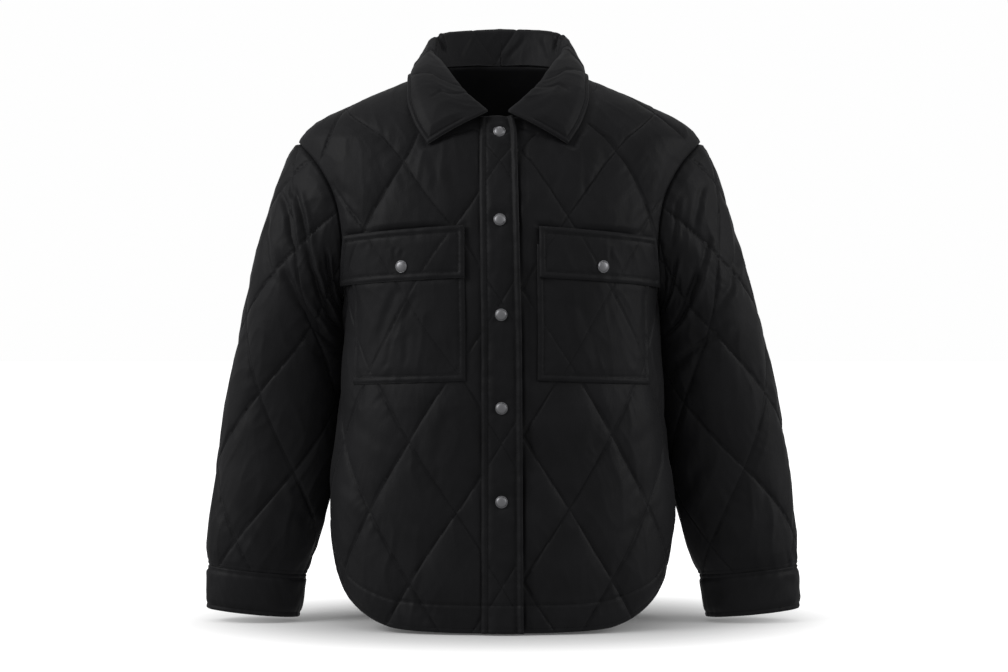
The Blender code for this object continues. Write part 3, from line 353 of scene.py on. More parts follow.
# ---- The sleeve form: from the armhole through a row of tilted rings ------------------
CAP_LENGTH = 0.275
FIRST_RING_Z = -0.360
CUFF_SEAM = 0.278
SLEEVE_LENGTH = CAP_LENGTH + CUFF_SEAM
CUFF_HEIGHT = 0.054
SLEEVE_RADIUS = 0.0685
SLEEVE_RINGS = table(
    "below   x       y      half_width  half_depth  tilt",
    (0.0, 0.2675, 0.03, 0.069, 0.068, 12.0),
    (0.07, 0.2776, 0.034, 0.0727, 0.06, 10.0),
    (0.14, 0.287, 0.03, 0.075, 0.052, 9.0),
    (0.2, 0.2968, 0.02, 0.0718, 0.046, 8.0),
    (0.24, 0.3037, 0.013, 0.068, 0.042, 7.0),
    (0.278, 0.3108, 0.009, 0.063, 0.039, 6.0),
    (0.332, 0.316, 0.005, 0.06, 0.036, 5.5),
)
sleeve_at = curves(SLEEVE_RINGS)
LEAVING = table(
    "turn_share   out    down  pull",
    (0.0, 0.5, 0.87, 1.0), (0.5, 0.74, 0.67, 1.0), (1.0, 0.97, 0.22, 0.32),
)
CAP_FULLNESS = {1: -0.007, -1: -0.001}
CUFF_SWING = {1: 0.003, -1: 0.0}


def sleeve_ring(turn, below, side):
    tilt = np.radians(sleeve_at["tilt"](below))
    wide = sleeve_at["half_width"](below) * np.cos(turn)
    deep = sleeve_at["half_depth"](below) * np.sin(turn)
    x = sleeve_at["x"](below) + CUFF_SWING[side] * below / CUFF_SEAM + wide * np.cos(tilt)
    y = sleeve_at["y"](below) - deep
    z = FIRST_RING_Z - below + wide * np.sin(tilt)
    return np.stack([side * x, y, z], axis=-1)


def armhole_loop(side):
    places = [(*armhole_point(turn, side), turn > math.pi) for turn in ARMHOLE_TURNS]
    return np.array([on_body(*place)[0] for place in places])


ARMHOLES = {side: armhole_loop(side) for side in (-1, 1)}
TUCK = 0.0050            # the sleeve's seam allowance, tucked under the body's edge
TUCK_DROP = 0.0029
CAP_EASE = 0.0027        # the sleeve stands up beside the seam


def sleeve_start(turn, side):
    """Where the sleeve leaves the armhole, and in what direction."""
    loop = ARMHOLES[side]
    edge = at_lengths(loop, ARMHOLE_TURNS, turn % math.tau)
    share = np.abs((turn + math.pi) % math.tau - math.pi) / math.pi
    out, down, pull = (
        np.interp(share, LEAVING["turn_share"], LEAVING[name]) for name in ("out", "down", "pull"))
    leaving = unit(np.stack([side * out, np.zeros_like(out), -down], axis=-1))
    inward = loop.mean(axis=0) - edge
    inward[..., 0] = 0.0
    return edge + unit(inward) * ARMHOLE_GAP, leaving * pull[..., None]


def sleeve_point(turn, down, side):
    """The sleeve's outer base at turns round it and lengths down its outer line."""
    turn, down = np.broadcast_arrays(np.asarray(turn, float), np.asarray(down, float))
    low = sleeve_ring(turn, np.maximum(down - CAP_LENGTH, 0.0), side)
    start, leaving = sleeve_start(turn, side)
    end = sleeve_ring(turn, np.zeros_like(down), side)
    after = sleeve_ring(turn, np.full_like(down, 0.03), side)
    reach = np.linalg.norm(end - start, axis=-1, keepdims=True)
    u = (np.clip(down, 0.0, CAP_LENGTH) / CAP_LENGTH)[..., None]
    cap = hermite(start, end, reach, leaving, unit(after - end), u)
    fullness = CAP_FULLNESS[side] * np.maximum(np.cos(turn), 0.0)
    cap[..., 0] += side * fullness * np.sin(math.pi * u[..., 0]) ** 2
    cap += unit(leaving) * np.minimum(down, 0.0)[..., None]
    return np.where((down >= CAP_LENGTH)[..., None], low, cap)


def on_sleeve(side):
    def place(p, q):
        p, q = np.broadcast_arrays(np.asarray(p, float), np.asarray(q, float))
        turn, down, step = side * p / SLEEVE_RADIUS, -q, 0.002
        point = sleeve_point(turn, down, side)
        top = np.maximum(down - step, 0.0)
        lengthways = sleeve_point(turn, top + 2 * step, side) - sleeve_point(turn, top, side)
        around = sleeve_point(turn + 0.02, down, side) - sleeve_point(turn - 0.02, down, side)
        return point, unit(np.cross(around, lengthways)) * side
    return place


def sleeve_outline():
    edge = math.pi * SLEEVE_RADIUS - SEAM_GAP / 2
    top = [((turn / math.pi - 1) * edge, TUCK) for turn in ARMHOLE_TURNS]
    downs = np.linspace(-TUCK, SLEEVE_LENGTH, 90)[1:-1]
    points = top + [(edge, -down) for down in downs]
    points += [(p, -SLEEVE_LENGTH) for p in np.linspace(edge, -edge, 100)]
    return points + [(-edge, -down) for down in reversed(downs)]


# ---- Quilting: diamonds on the flat cut -----------------------------------------------
DIAMOND_HALF_WIDTH = 0.054
DIAMOND_HALF_HEIGHT = 0.0865
DIAMOND_SIDE = math.hypot(DIAMOND_HALF_WIDTH, DIAMOND_HALF_HEIGHT)
LINE_SPACING = 2 * DIAMOND_HALF_WIDTH * DIAMOND_HALF_HEIGHT / DIAMOND_SIDE
PUFF = 0.0047            # how far the middle of a diamond stands up
PUFF_REACH = 0.0105      # how soon it rises beside a line
DOME_SHARE = 0.46        # how much of it is one dome over the whole diamond
STITCH_DIP = 0.0014      # the stitched line is pulled below the wall's own face
STITCH_WIDTH = 0.0012
PUCKER_REACH, PUCKER_START = 0.012, 0.0022
SHARP_PUCKERS = (0.0098, 0.0016)         # spacing along the line, and height
BROAD_PUCKERS = (0.031, 0.0011)
BACKING_REACH = 0.012    # the same as PUFF_REACH, on the inner side
LINE_DRIFT = 0.010       # how far a sewn line strays, in parts of LINE_SPACING
LEAST_FULLNESS = 0.22    # of dips and puckers, where there is no wadding at all


class Quilting:
    """Diamonds with one crossing at a given place of the cut."""

    def __init__(self, p, q, height=PUFF, to_cut=None, from_cut=None, seed=0):
        self.p, self.q, self.height, self.seed = p, q, height, seed
        self.to_cut = to_cut or (lambda p, q: (p, q))
        self.from_cut = from_cut or (lambda p, q: (p, q))

    def count(self, p, q):
        p, q = self.to_cut(p, q)
        across = (p - self.p) / DIAMOND_HALF_WIDTH
        up = (q - self.q) / DIAMOND_HALF_HEIGHT
        return (across + up) / 2, (across - up) / 2

    def drift(self, line, along, family):
        """Sewn lines are never quite straight."""
        return LINE_DRIFT * noise(along * 0.9, line * 3.7 + 5.1, self.seed + family)

    def near(self, p, q):
        """For each family of lines: distance to the nearest line, length along it, its number."""
        counts = self.count(p, q)
        found = []
        for family in (0, 1):
            own, other = counts[family], counts[1 - family]
            line = np.round(own)
            own = own - self.drift(line, other, family)
            found.append((np.abs(own - line) * LINE_SPACING, other * DIAMOND_SIDE, line))
        return found

    def lines(self, outline):
        """The stitched lines as rows of points across the whole outline."""
        counts = self.count(*np.array(outline).T)
        spans = [(math.floor(c.min()) - 1, math.ceil(c.max()) + 1) for c in counts]
        found = []
        for family in (0, 1):
            along = np.arange(*spans[1 - family], STEP / DIAMOND_SIDE)
            for line in range(spans[family][0], spans[family][1] + 1):
                own = line + self.drift(np.full_like(along, line), along, family)
                a, b = (own, along) if family == 0 else (along, own)
                p = self.p + DIAMOND_HALF_WIDTH * (a + b)
                q = self.q + DIAMOND_HALF_HEIGHT * (a - b)
                found.append(np.stack(self.from_cut(p, q), axis=-1))
        return found

    def backing(self, flat):
        """How full the wadding is on the inner side, 0 on a line to 1."""
        return np.prod([1 - np.exp(-near[0] / BACKING_REACH) for near in self.near(*flat.T)], axis=0)

    def relief(self, p, q, full):
        """Wadding between the stitches, the dip at each stitch, and the puckers beside it."""
        near = self.near(p, q)
        puff, dome, pucker = 1.0, 1.0, 0.0
        for family, (distance, along, line) in enumerate(near):
            puff = puff * (1 - np.exp(-distance / PUFF_REACH))
            share = np.clip(distance / LINE_SPACING, 0, 0.5)
            dome = dome * np.sqrt(4 * share * (1 - share))
            seed = self.seed + 3 + family
            sharp = SHARP_PUCKERS[1] * noise(
                along / SHARP_PUCKERS[0] + distance * 30, line * 7.3 + distance * 22, seed)
            broad = BROAD_PUCKERS[1] * noise(
                along / BROAD_PUCKERS[0], line * 5.9 + distance * 12, seed + 5)
            strength = np.clip(0.55 + 0.75 * noise(along / 0.06, line * 3.1, seed + 9), 0.1, 1.6)
            where = beside(distance, PUCKER_REACH, PUCKER_START) * strength
            pucker = pucker + where * (sharp + broad)
        closest = np.minimum(near[0][0], near[1][0])
        uneven = 1 + 0.16 * noise(p / 0.09, q / 0.12, self.seed + 21)
        bulk = self.height * ((1 - DOME_SHARE) * puff + DOME_SHARE * dome) * uneven * full
        fullness = LEAST_FULLNESS + (1 - LEAST_FULLNESS) * self.height / PUFF
        dip = STITCH_DIP * bell(closest, STITCH_WIDTH) * np.minimum(full * 4, 1)
        dip, pucker = dip * (0.25 + 0.75 * fullness), pucker * fullness
        return bulk - dip + pucker * np.minimum(full * 1.5, 1)


CROSSING = (0.0, -0.1265)                # of two sewn lines on the back and the placket
FRONT_CROSSING = {-1: (0.000, -0.1265), 1: (0.026, -0.1195)}
QUILT_SHIFT = table(
    # how far the sewn lines of each front lie outward and up from the even lattice
    "side  q  outward  up",
    (-1, -0.65, 0.005, 0.003), (-1, -0.47, 0.0065, 0.003), (-1, -0.21, 0.0095, 0.003),
    (-1, -0.13, 0.0105, 0.0005), (-1, 0.004, 0.033, 0.044),
    (1, -0.65, 0.003, -0.0005), (1, -0.45, 0.0035, 0.003), (1, -0.2, 0.0045, 0.0105),
    (1, -0.107, 0.011, 0.0127), (1, -0.012, 0.01, 0.021),
)
ARMHOLE_SHIFT = {-1: 0.009, 1: 0.004}    # and how far beside the armhole


def front_quilting(side, height, seed):
    """A front's diamonds, which were sewn a little off the even lattice."""
    rows = [row[1:] for row in zip(*QUILT_SHIFT.values()) if row[0] == side]
    outward, up = curves(table("q outward up", *rows)).values()

    def across(p, q):
        beside_armhole = smooth(np.abs(p), 0.14, 0.20) * smooth(q, -0.22, -0.15)
        return side * (
            outward(q) * smooth(np.abs(p), 0.03, 0.10) + ARMHOLE_SHIFT[side] * beside_armhole)

    def to_cut(p, q):
        return p - across(p, q), q - up(q)

    def from_cut(p, q):
        at_p, at_q = p, q
        for _ in range(5):
            at_q = q + up(at_q)
            at_p = p + across(at_p, at_q)
        return at_p, at_q

    return Quilting(*FRONT_CROSSING[side], height, to_cut, from_cut, seed)


SLEEVE_QUILTING = table(
    # one crossing of each sleeve: forward of the outer line, and above the cuff seam
    "side  forward  above  lean  stretch",
    (-1, 0.076, 0.2245, 0.08, 1.092), (1, 0.111, 0.3135, 0.14, 1.058),
)
SLEEVE_PUFF = 0.0040


def sleeve_lengths(side):
    """Cloth lengths on the sleeve: up from the cuff seam at a place, and round it at a level."""
    turns = np.radians(np.arange(-180, 181, 6))
    downs = np.linspace(0, SLEEVE_LENGTH, 122)
    points = sleeve_point(turns[:, None], downs[None, :], side)
    run = lengths_along(points, axis=1)
    heights = run[:, -1:] - run
    rounds = lengths_along(points)[-1]

    def above(turn, down):
        at = np.clip((turn - turns[0]) / (turns[1] - turns[0]), 0, len(turns) - 1.001)
        deep = np.clip(down / downs[1], 0, len(downs) - 1.001)
        return between(heights, at, deep) - np.minimum(down, 0)

    def girth(down):
        return np.interp(down, downs, rounds)

    return above, girth


def sleeve_quilting(side, seed):
    """A sleeve's diamonds, even on the cloth itself and leaning a little forward."""
    [(forward, start, lean, stretch)] = [
        row[1:] for row in zip(*SLEEVE_QUILTING.values()) if row[0] == side]
    above, girth = sleeve_lengths(side)

    def to_cut(p, q):
        turn, down = side * np.asarray(p) / SLEEVE_RADIUS, -np.asarray(q)
        high = above(turn, down)
        return turn * girth(down) / math.tau - lean * (high - start), high / stretch

    def from_cut(p, q):
        high = q * stretch
        run = p + lean * (high - start)
        down = SLEEVE_LENGTH - high
        for _ in range(30):
            turn = run * math.tau / girth(down)
            down = down + above(turn, down) - high
        return side * turn * SLEEVE_RADIUS, -down

    return Quilting(forward, start / stretch, SLEEVE_PUFF, to_cut, from_cut, seed)


# ---- Geometry of flat outlines --------------------------------------------------------
def inside(points, outline):
    corners = np.array(outline)
    found = np.zeros(len(points), bool)
    x, y = points[:, 0], points[:, 1]
    for (x0, y0), (x1, y1) in zip(corners, np.roll(corners, -1, axis=0)):
        crosses = (y0 > y) != (y1 > y)
        if crosses.any():
            found ^= crosses & (x < x0 + (y - y0) * (x1 - x0) / (y1 - y0 if y1 != y0 else 1.0))
    return found


def nearest(points, line, closed=False):
    """Distance to the nearest place on a line, and the length along the line there."""
    corners = np.array(line, float)
    if closed:
        corners = np.vstack([corners, corners[:1]])
    best = np.full(len(points), np.inf)
    along = np.zeros(len(points))
    length = 0.0
    for start, end in zip(corners, corners[1:]):
        step = end - start
        size = float(np.hypot(*step))
        if size < 1e-9:
            continue
        share = np.clip(((points - start) @ step) / size**2, 0, 1)
        gap = points - start - share[:, None] * step
        square = gap[:, 0] ** 2 + gap[:, 1] ** 2
        closer = square < best
        best[closer] = square[closer]
        along[closer] = length + share[closer] * size
        length += size
    return np.sqrt(best), along


def refined(outline, step):
    corners = np.array(outline, float)
    points = []
    for start, end in zip(corners, np.roll(corners, -1, axis=0)):
        size = math.dist(start, end)
        if size < 1e-7:
            continue
        parts = max(1, round(size / step))
        points += [start + (end - start) * i / parts for i in range(parts)]
    return np.array(points)


def signed_area(outline):
    """The area inside an outline, above 0 where it runs anticlockwise."""
    corners = np.array(outline)
    after = np.roll(corners, -1, axis=0)
    return float((corners[:, 0] * after[:, 1] - after[:, 0] * corners[:, 1]).sum()) / 2


def leftward(along):
    """Unit vectors to the left of directions on the cut."""
    return unit(np.stack([-along[..., 1], along[..., 0]], axis=-1))


def inset(outline, by):
    """An outline's points moved inward; points near a corner may come out too close."""
    corners = np.array(outline, float)
    along = np.roll(corners, -1, axis=0) - np.roll(corners, 1, axis=0)
    return corners + leftward(along) * math.copysign(by, signed_area(outline))


def spread(outline, edge, step, gap):
    """Points in even rows inside an outline, a gap away from its edge."""
    corners = np.array(outline)
    low, high = corners.min(axis=0), corners.max(axis=0)
    rows = []
    for j, y in enumerate(np.arange(low[1] + step / 2, high[1], step * 0.87)):
        xs = np.arange(low[0] + (step / 2 if j % 2 else step * 0.05), high[0], step)
        rows.append(np.stack([xs, np.full_like(xs, y)], axis=1))
    points = np.concatenate(rows)
    points = points[inside(points, outline)]
    return points[nearest(points, edge, True)[0] > gap]


def apart(points, others, gap):
    """Only the points that keep a gap from the others."""
    if not len(others) or not len(points):
        return points
    tree = KDTree(len(others))
    for i, (x, y) in enumerate(others):
        tree.insert((x, y, 0.0), i)
    tree.balance()
    return points[np.array([tree.find((x, y, 0.0))[2] > gap for x, y in points])]


ROW_GAP = 0.0018         # rows of points keep a little under half of this from one another


def thinned(lines, outline, edge):
    """Points of several rows, kept off the edge and off one another."""
    kept = np.zeros((0, 2))
    for line in lines:
        line = line[inside(line, outline)]
        if len(line):
            line = line[nearest(line, edge, True)[0] > ROW_GAP * 0.4]
        kept = np.vstack([kept, apart(line, kept, ROW_GAP * 0.45)])
    return kept


def triangulated(edge, points):
    """Points and triangles inside an edge, and the numbers that the edge's points now have."""
    spots = [Vector(p) for p in edge] + [Vector(p) for p in points]
    flat, _, faces, origins, _, _ = delaunay_2d_cdt(spots, [], [list(range(len(edge)))], 1, 1e-8)
    became = {old: new for new, olds in enumerate(origins) for old in olds}
    return np.array([tuple(p) for p in flat]), np.array(faces), [became[i] for i in range(len(edge))]


# ---- Objects --------------------------------------------------------------------------
EDGE_INSETS = (0.0009, 0.0026)           # two rows of points that round a piece's edge
EDGE_DROP, EDGE_WIDTH = 0.0011, 0.0013


def make_object(name, points, faces, material, cut=None):
    name = f"{name}_look"
    mesh = bpy.data.meshes.new(name)
    mesh.from_pydata(np.asarray(points).tolist(), [], [list(map(int, face)) for face in faces])
    mesh.validate()
    mesh.update()
    mesh.shade_smooth()
    if cut is not None:
        layer = mesh.uv_layers.new(name="cut")
        owners = np.zeros(len(mesh.loops), int)
        mesh.loops.foreach_get("vertex_index", owners)
        layer.data.foreach_set("uv", np.asarray(cut, float)[owners].ravel())
    mesh.materials.append(material)
    piece = bpy.data.objects.new(name, mesh)
    bpy.context.scene.collection.objects.link(piece)
    return piece


def wall_mesh(name, outline, place, low, high, relief, lines, under, step):
    """A sewn piece: fine points on its show side, plainer ones inside, and a rounded edge."""
    edge = refined(outline, step)
    rows = thinned([inset(edge, by) for by in EDGE_INSETS] + lines, outline, edge)
    free = spread(outline, edge[:: max(1, len(edge) // 900)], step, step * 0.5)
    free = apart(free, rows, step * 0.62)
    flat, faces, rim = triangulated(edge, np.vstack([rows, free]))
    point, normal = place(*flat.T)
    edge_distance = nearest(flat, edge, True)[0]
    rise = high + relief(flat, edge_distance)
    rise -= EDGE_DROP * bell(edge_distance, EDGE_WIDTH)
    outer = point + normal * rise[:, None]

    free = spread(outline, edge[::4], INNER_STEP, INNER_STEP * 0.45)
    inner_flat, inner_faces, inner_rim = triangulated(edge, free)
    point, normal = place(*inner_flat.T)
    rise = np.full(len(inner_flat), low)
    if under:
        rise = rise - under(inner_flat)
    inner = point + normal * rise[:, None]

    start = len(outer)
    after = np.roll(np.arange(len(edge)), -1)
    sides = [[rim[j], rim[i], start + inner_rim[i], start + inner_rim[j]] for i, j in enumerate(after)]
    all_faces = list(faces) + list((inner_faces + start)[:, ::-1]) + sides
    points = np.vstack([outer, inner])
    if turned_in(points, faces, place, flat):
        all_faces = [list(face)[::-1] for face in all_faces]
    return make_object(name, points, all_faces, NYLON, np.vstack([flat, inner_flat]))


def turned_in(points, faces, place, flat):
    """Whether the show side's faces point into the cloth."""
    sample = faces[:: max(1, len(faces) // 400)]
    a, b, c = (points[sample[:, i]] for i in range(3))
    _, normal = place(*flat[sample].mean(axis=1).T)
    return (np.cross(b - a, c - a) * normal).sum() < 0


def grid_faces(rows, across, closed, start=0, flip=False):
    """Four-sided faces over a grid of points."""
    last = across if closed else across - 1
    r, c = np.meshgrid(np.arange(rows - 1) * across, np.arange(last), indexing="ij")
    d = (c + 1) % across
    quads = np.stack([r + c, r + d, r + across + d, r + across + c], -1).reshape(-1, 4) + start
    return quads[:, ::-1] if flip else quads


def shell_mesh(name, outer, inner, closed, cut, flip=False):
    """A wall between two grids of points; closed rows make a tube."""
    rows, across = outer.shape[:2]
    start = rows * across
    faces = list(grid_faces(rows, across, closed)) + list(grid_faces(rows, across, closed, start, True))
    numbers = np.arange(start).reshape(rows, across)
    if closed:
        numbers = np.hstack([numbers, numbers[:, :1]])
    rims = [(numbers[0], True), (numbers[-1], False)]
    if not closed:
        rims += [(numbers[:, 0], False), (numbers[:, -1], True)]
    for rim, turned in rims:
        for i, j in zip(rim, rim[1:]):
            quad = [i, j, start + j, start + i]
            faces.append(quad if turned else quad[::-1])
    if flip:
        faces = [list(face)[::-1] for face in faces]
    points = np.vstack([outer.reshape(-1, 3), inner.reshape(-1, 3)])
    flat = cut.reshape(-1, 2)
    return make_object(name, points, faces, NYLON, np.vstack([flat, flat]))


THREAD_RADIUS = 0.00034
STITCH_LENGTH = 0.0031
BEAD = table("share  rise  size", (0.1, -0.00022, 0.6), (0.5, 0.00016, 1.0), (0.9, -0.00022, 0.6))
BEAD_ANGLES = (0.2, 1.57, 2.94)


def thread_mesh(name, rows):
    """Stitches along rows of (points, normals), each a short bead half sunk in the cloth."""
    points, faces = [], []
    for path, normals in rows:
        run = lengths_along(path)
        for i in range(int(run[-1] / STITCH_LENGTH)):
            spots = (i + np.array(BEAD["share"])) * STITCH_LENGTH
            middle = at_lengths(path, run, spots)
            normal = unit(at_lengths(normals, run, spots[1]))
            across = np.cross(unit(middle[2] - middle[0]), normal)
            start = len(points)
            for spot, rise, size in zip(middle, BEAD["rise"], BEAD["size"]):
                radius = THREAD_RADIUS * size
                points += [
                    spot + normal * (rise + radius * math.sin(a)) + across * radius * math.cos(a)
                    for a in BEAD_ANGLES]
            faces += [[a, a + 1, a + 4, a + 3] for a in (start, start + 1, start + 3, start + 4)]
    return make_object(name, points, faces, THREAD_WITH_PAINTED_SHADE)


# ---- Materials ------------------------------------------------------------------------
def fill(tree, node, inputs):
    """Sets a node's inputs, each to a value or by a link from another node's output."""
    for name, value in inputs.items():
        if isinstance(value, bpy.types.NodeSocket):
            tree.links.new(value, node.inputs[name])
        else:
            node.inputs[name].default_value = value


def add_node(tree, kind, inputs, output=0, **settings):
    """A new node's output, after its own settings and its inputs are set."""
    node = tree.nodes.new(f"ShaderNode{kind}")
    for name, value in settings.items():
        setattr(node, name, value)
    fill(tree, node, inputs)
    return node.outputs[output]


def new_material(name):
    material = bpy.data.materials.new(name)
    material.use_nodes = True
    return material, material.node_tree, material.node_tree.nodes["Principled BSDF"]


def nylon_material(name, colour, roughness):
    """Near-black taffeta: a fine plain weave, cloudy sheen and faint crumple, from its cut."""
    material, tree, shader = new_material(name)
    cut = add_node(tree, "UVMap", {}, uv_map="cut")
    place = add_node(tree, "TexCoord", {}, "Object")
    cloud = add_node(tree, "TexNoise", {"Vector": place, "Scale": 22.0, "Detail": 4.0}, "Fac")
    tint = add_node(tree, "ValToRGB", {"Fac": cloud}, "Color")
    stops = tint.node.color_ramp.elements
    for i, (position, shade) in enumerate(((0.30, 0.82), (0.72, 1.18))):
        stops[i].position = position
        stops[i].color = (*(c * shade for c in colour), 1.0)
    gloss = add_node(tree, "MapRange", {
        "Value": cloud, "To Min": roughness - 0.06, "To Max": roughness + 0.07}, "Result")

    threads = []
    for direction in "XY":
        weave = {"Vector": cut, "Scale": 1250.0, "Distortion": 0.4}
        band = add_node(tree, "TexWave", weave, "Fac", wave_type="BANDS", bands_direction=direction)
        threads.append(add_node(tree, "Math", {0: band, 1: 0.35}, operation="MULTIPLY"))
    both = add_node(tree, "Math", dict(enumerate(threads)), operation="ADD")
    fine = add_node(tree, "Bump", {"Strength": 0.10, "Distance": 0.0002, "Height": both}, "Normal")

    stretched = add_node(tree, "Mapping", {"Scale": (1.0, 0.33, 1.0), "Vector": cut}, "Vector")
    crumple = add_node(tree, "TexNoise", {
        "Vector": stretched, "Scale": 150.0, "Detail": 3.0, "Roughness": 0.55}, "Fac")
    soft = add_node(tree, "Bump", {
        "Strength": 0.30, "Distance": 0.0012, "Height": crumple, "Normal": fine}, "Normal")
    fill(tree, shader, {
        "Base Color": tint, "Roughness": gloss, "Normal": soft,
        "Specular IOR Level": 0.10, "Sheen Weight": 0.03, "Sheen Roughness": 0.45})
    return material


def metal_material(name, colour):
    """Dark plated brass with a satin finish and small knocks."""
    material, tree, shader = new_material(name)
    place = add_node(tree, "TexCoord", {}, "Object")
    wear = add_node(tree, "TexNoise", {"Vector": place, "Scale": 420.0, "Detail": 4.0}, "Fac")
    gloss = add_node(tree, "MapRange", {"Value": wear, "To Min": 0.40, "To Max": 0.54}, "Result")
    bump = add_node(tree, "Bump", {"Strength": 0.08, "Distance": 0.0002, "Height": wear}, "Normal")
    fill(tree, shader, {
        "Base Color": (*colour, 1.0), "Metallic": 1.0, "Roughness": gloss, "Normal": bump})
    return material


NYLON = nylon_material("black_nylon", (0.0098, 0.0098, 0.0108), 0.52)
# Black thread, its colour set darker than the cloth's as painted shade in the stitched valleys.
THREAD_WITH_PAINTED_SHADE = nylon_material("black_thread_with_painted_shade", (0.0050, 0.0050, 0.0055), 0.60)
GUNMETAL = metal_material("gunmetal", (0.24, 0.24, 0.25))


# ---- Creases and wrinkles -------------------------------------------------------------
def crease_rows(rows, side, place):
    """One side's rows of a table of creases, with both their ends put on the cut by place."""
    return [(*place(a, b), *place(c, d), *shape)
            for own, a, b, c, d, *shape in zip(*rows.values()) if own == side]


def creases(points, rows):
    """Soft troughs between two places of the cut, each with a ridge along one side."""
    total = np.zeros(len(points))
    for p0, q0, p1, q1, width, depth, bow in rows:
        along = np.array((p1, q1)) - (p0, q0)
        size = math.hypot(*along)
        offset = points - (p0, q0)
        share = (offset @ along) / size**2
        side = (offset[:, 0] * along[1] - offset[:, 1] * along[0]) / size
        side = side - bow * size * 4 * share * (1 - share)
        side = side + width * 0.35 * noise(share * size / 0.02, p0 * 90, 31)
        ends = smooth(share, -0.06, 0.22) * (1 - smooth(share, 0.72, 1.06))
        ridge = 0.55 * bell(side - 1.5 * width, 1.15 * width)
        total += ends * depth * (ridge - bell(side, width))
    return total


WRINKLES = table(
    "kind  across  down  height",
    ("bend", 0.07, 0.06, 0.010), ("place", 0.085, 0.075, 0.9), ("upright", 0.034, 0.125, 0.0011),
    ("small", 0.0125, 0.045, 0.00022), ("slanted", 0.030, 0.10, 0.0006),
    ("broad", 0.11, 0.14, 0.0011),
)


def wrinkles(points, seed, strength=1.0):
    """Fine, mostly upright wrinkles that come and go over the cloth."""
    p, q = points.T
    across, down, high = WRINKLES["across"], WRINKLES["down"], WRINKLES["height"]
    bent = p + high[0] * noise(p / across[0], q / down[0], seed + 1)
    where = np.clip(0.45 + high[1] * noise(p / across[1], q / down[1], seed + 2), 0, 1)
    upright = ridged(bent / across[2], q / down[2], seed + 3) - 0.25
    small = noise(bent / across[3], q / down[3], seed + 4)
    slanted = ridged((p + 0.45 * q) / across[4], (q - 0.45 * p) / down[4], seed + 5) - 0.25
    broad = noise(p / across[5], q / down[5], seed + 6)
    return strength * (where * (high[2] * upright + high[3] * small)
                       + (1 - where) * high[4] * slanted + high[5] * broad)


GATHERS = table(
    "armhole  cap  wrist  cuff  topstitching",
    (0.013, 0.012, 0.012, 0.010, 0.0085),        # spacing along the seam
    (0.014, 0.020, 0.012, 0.010, 0.0060),        # reach away from it
    (0.0011, 0.0021, 0.0014, 0.0026, 0.0007),    # height
)
DIPS = table(
    # how deep rows of topstitching lie
    "hem_band  hem_edge  wrist  cuff_seam  cuff_end  patch  placket  placket_end  collar",
    (0.0016, 0.0007, 0.0008, 0.0015, 0.0008, 0.0011, 0.0012, 0.0006, 0.0012),
)
DIP_WIDTH = 0.0016


def seam_gathers(distance, along, seed, seam):
    """Puckers that stand across a seam and die out away from it."""
    spacing, reach, depth = GATHERS[seam]
    sharp = noise(along / spacing, distance * 20, seed)
    strength = np.clip(0.7 + 0.8 * noise(along / 0.06, 0.5, seed + 1), 0.15, 1.5)
    return beside(distance, reach, 0.0015) * strength * depth * sharp


def stitched(distance, along, seed, row, width=DIP_WIDTH):
    """A topstitched line: a narrow dip with a row of small puckers on both sides."""
    dip = DIPS[row][0] * bell(distance, width)
    return seam_gathers(distance, along, seed, "topstitching") - dip


# ---- Placket, pockets, snaps, collar: their own sizes ---------------------------------
PLACKET_LEFT_EDGE = -0.0245
PLACKET_TOP = -0.0720
PLACKET_FREE_EDGE = table(
    "z run", (-0.072, 0.017), (-0.09, 0.0212), (-0.3, 0.024), (-0.7, 0.0265),
)
placket_free_edge = curves(PLACKET_FREE_EDGE)["run"]
POCKET_WALL = 0.0020
POCKET_HIGH = LAY_GAP + POCKET_WALL
FLAP_LOW = POCKET_HIGH + LAY_GAP
FLAP_HIGH = FLAP_LOW + POCKET_WALL
PLACKET_HIGH = LAY_GAP + 0.0024
# Corners as seen from the front; the two pockets aren't sewn on quite evenly.
FLAP_CORNERS = table(
    "side  x  z",
    (-1, 0.0425, -0.2068), (-1, 0.0432, -0.2712), (-1, 0.1952, -0.2785), (-1, 0.1905, -0.217),
    (1, 0.0474, -0.2086), (1, 0.0469, -0.2711), (1, 0.193, -0.2803), (1, 0.1892, -0.2192),
)
POCKET_CORNERS = table(
    "side  x  z",
    (-1, 0.0434, -0.23), (-1, 0.0434, -0.396), (-1, 0.1832, -0.4015), (-1, 0.187, -0.24),
    (1, 0.0445, -0.23), (1, 0.0434, -0.396), (1, 0.1822, -0.4015), (1, 0.187, -0.24),
)
TOPSTITCH = 0.0078       # from an edge to its row of topstitching
SNAP_HEIGHTS = (-0.0915, -0.2007, -0.3158, -0.4291, -0.5427)
SNAP_RADIUS = 0.0075
SNAP_SEAT = 0.0090       # the cloth is pressed flat this far round a snap
POCKET_SNAPS = {-1: (0.1187, -0.2570), 1: (0.1233, -0.2570)}

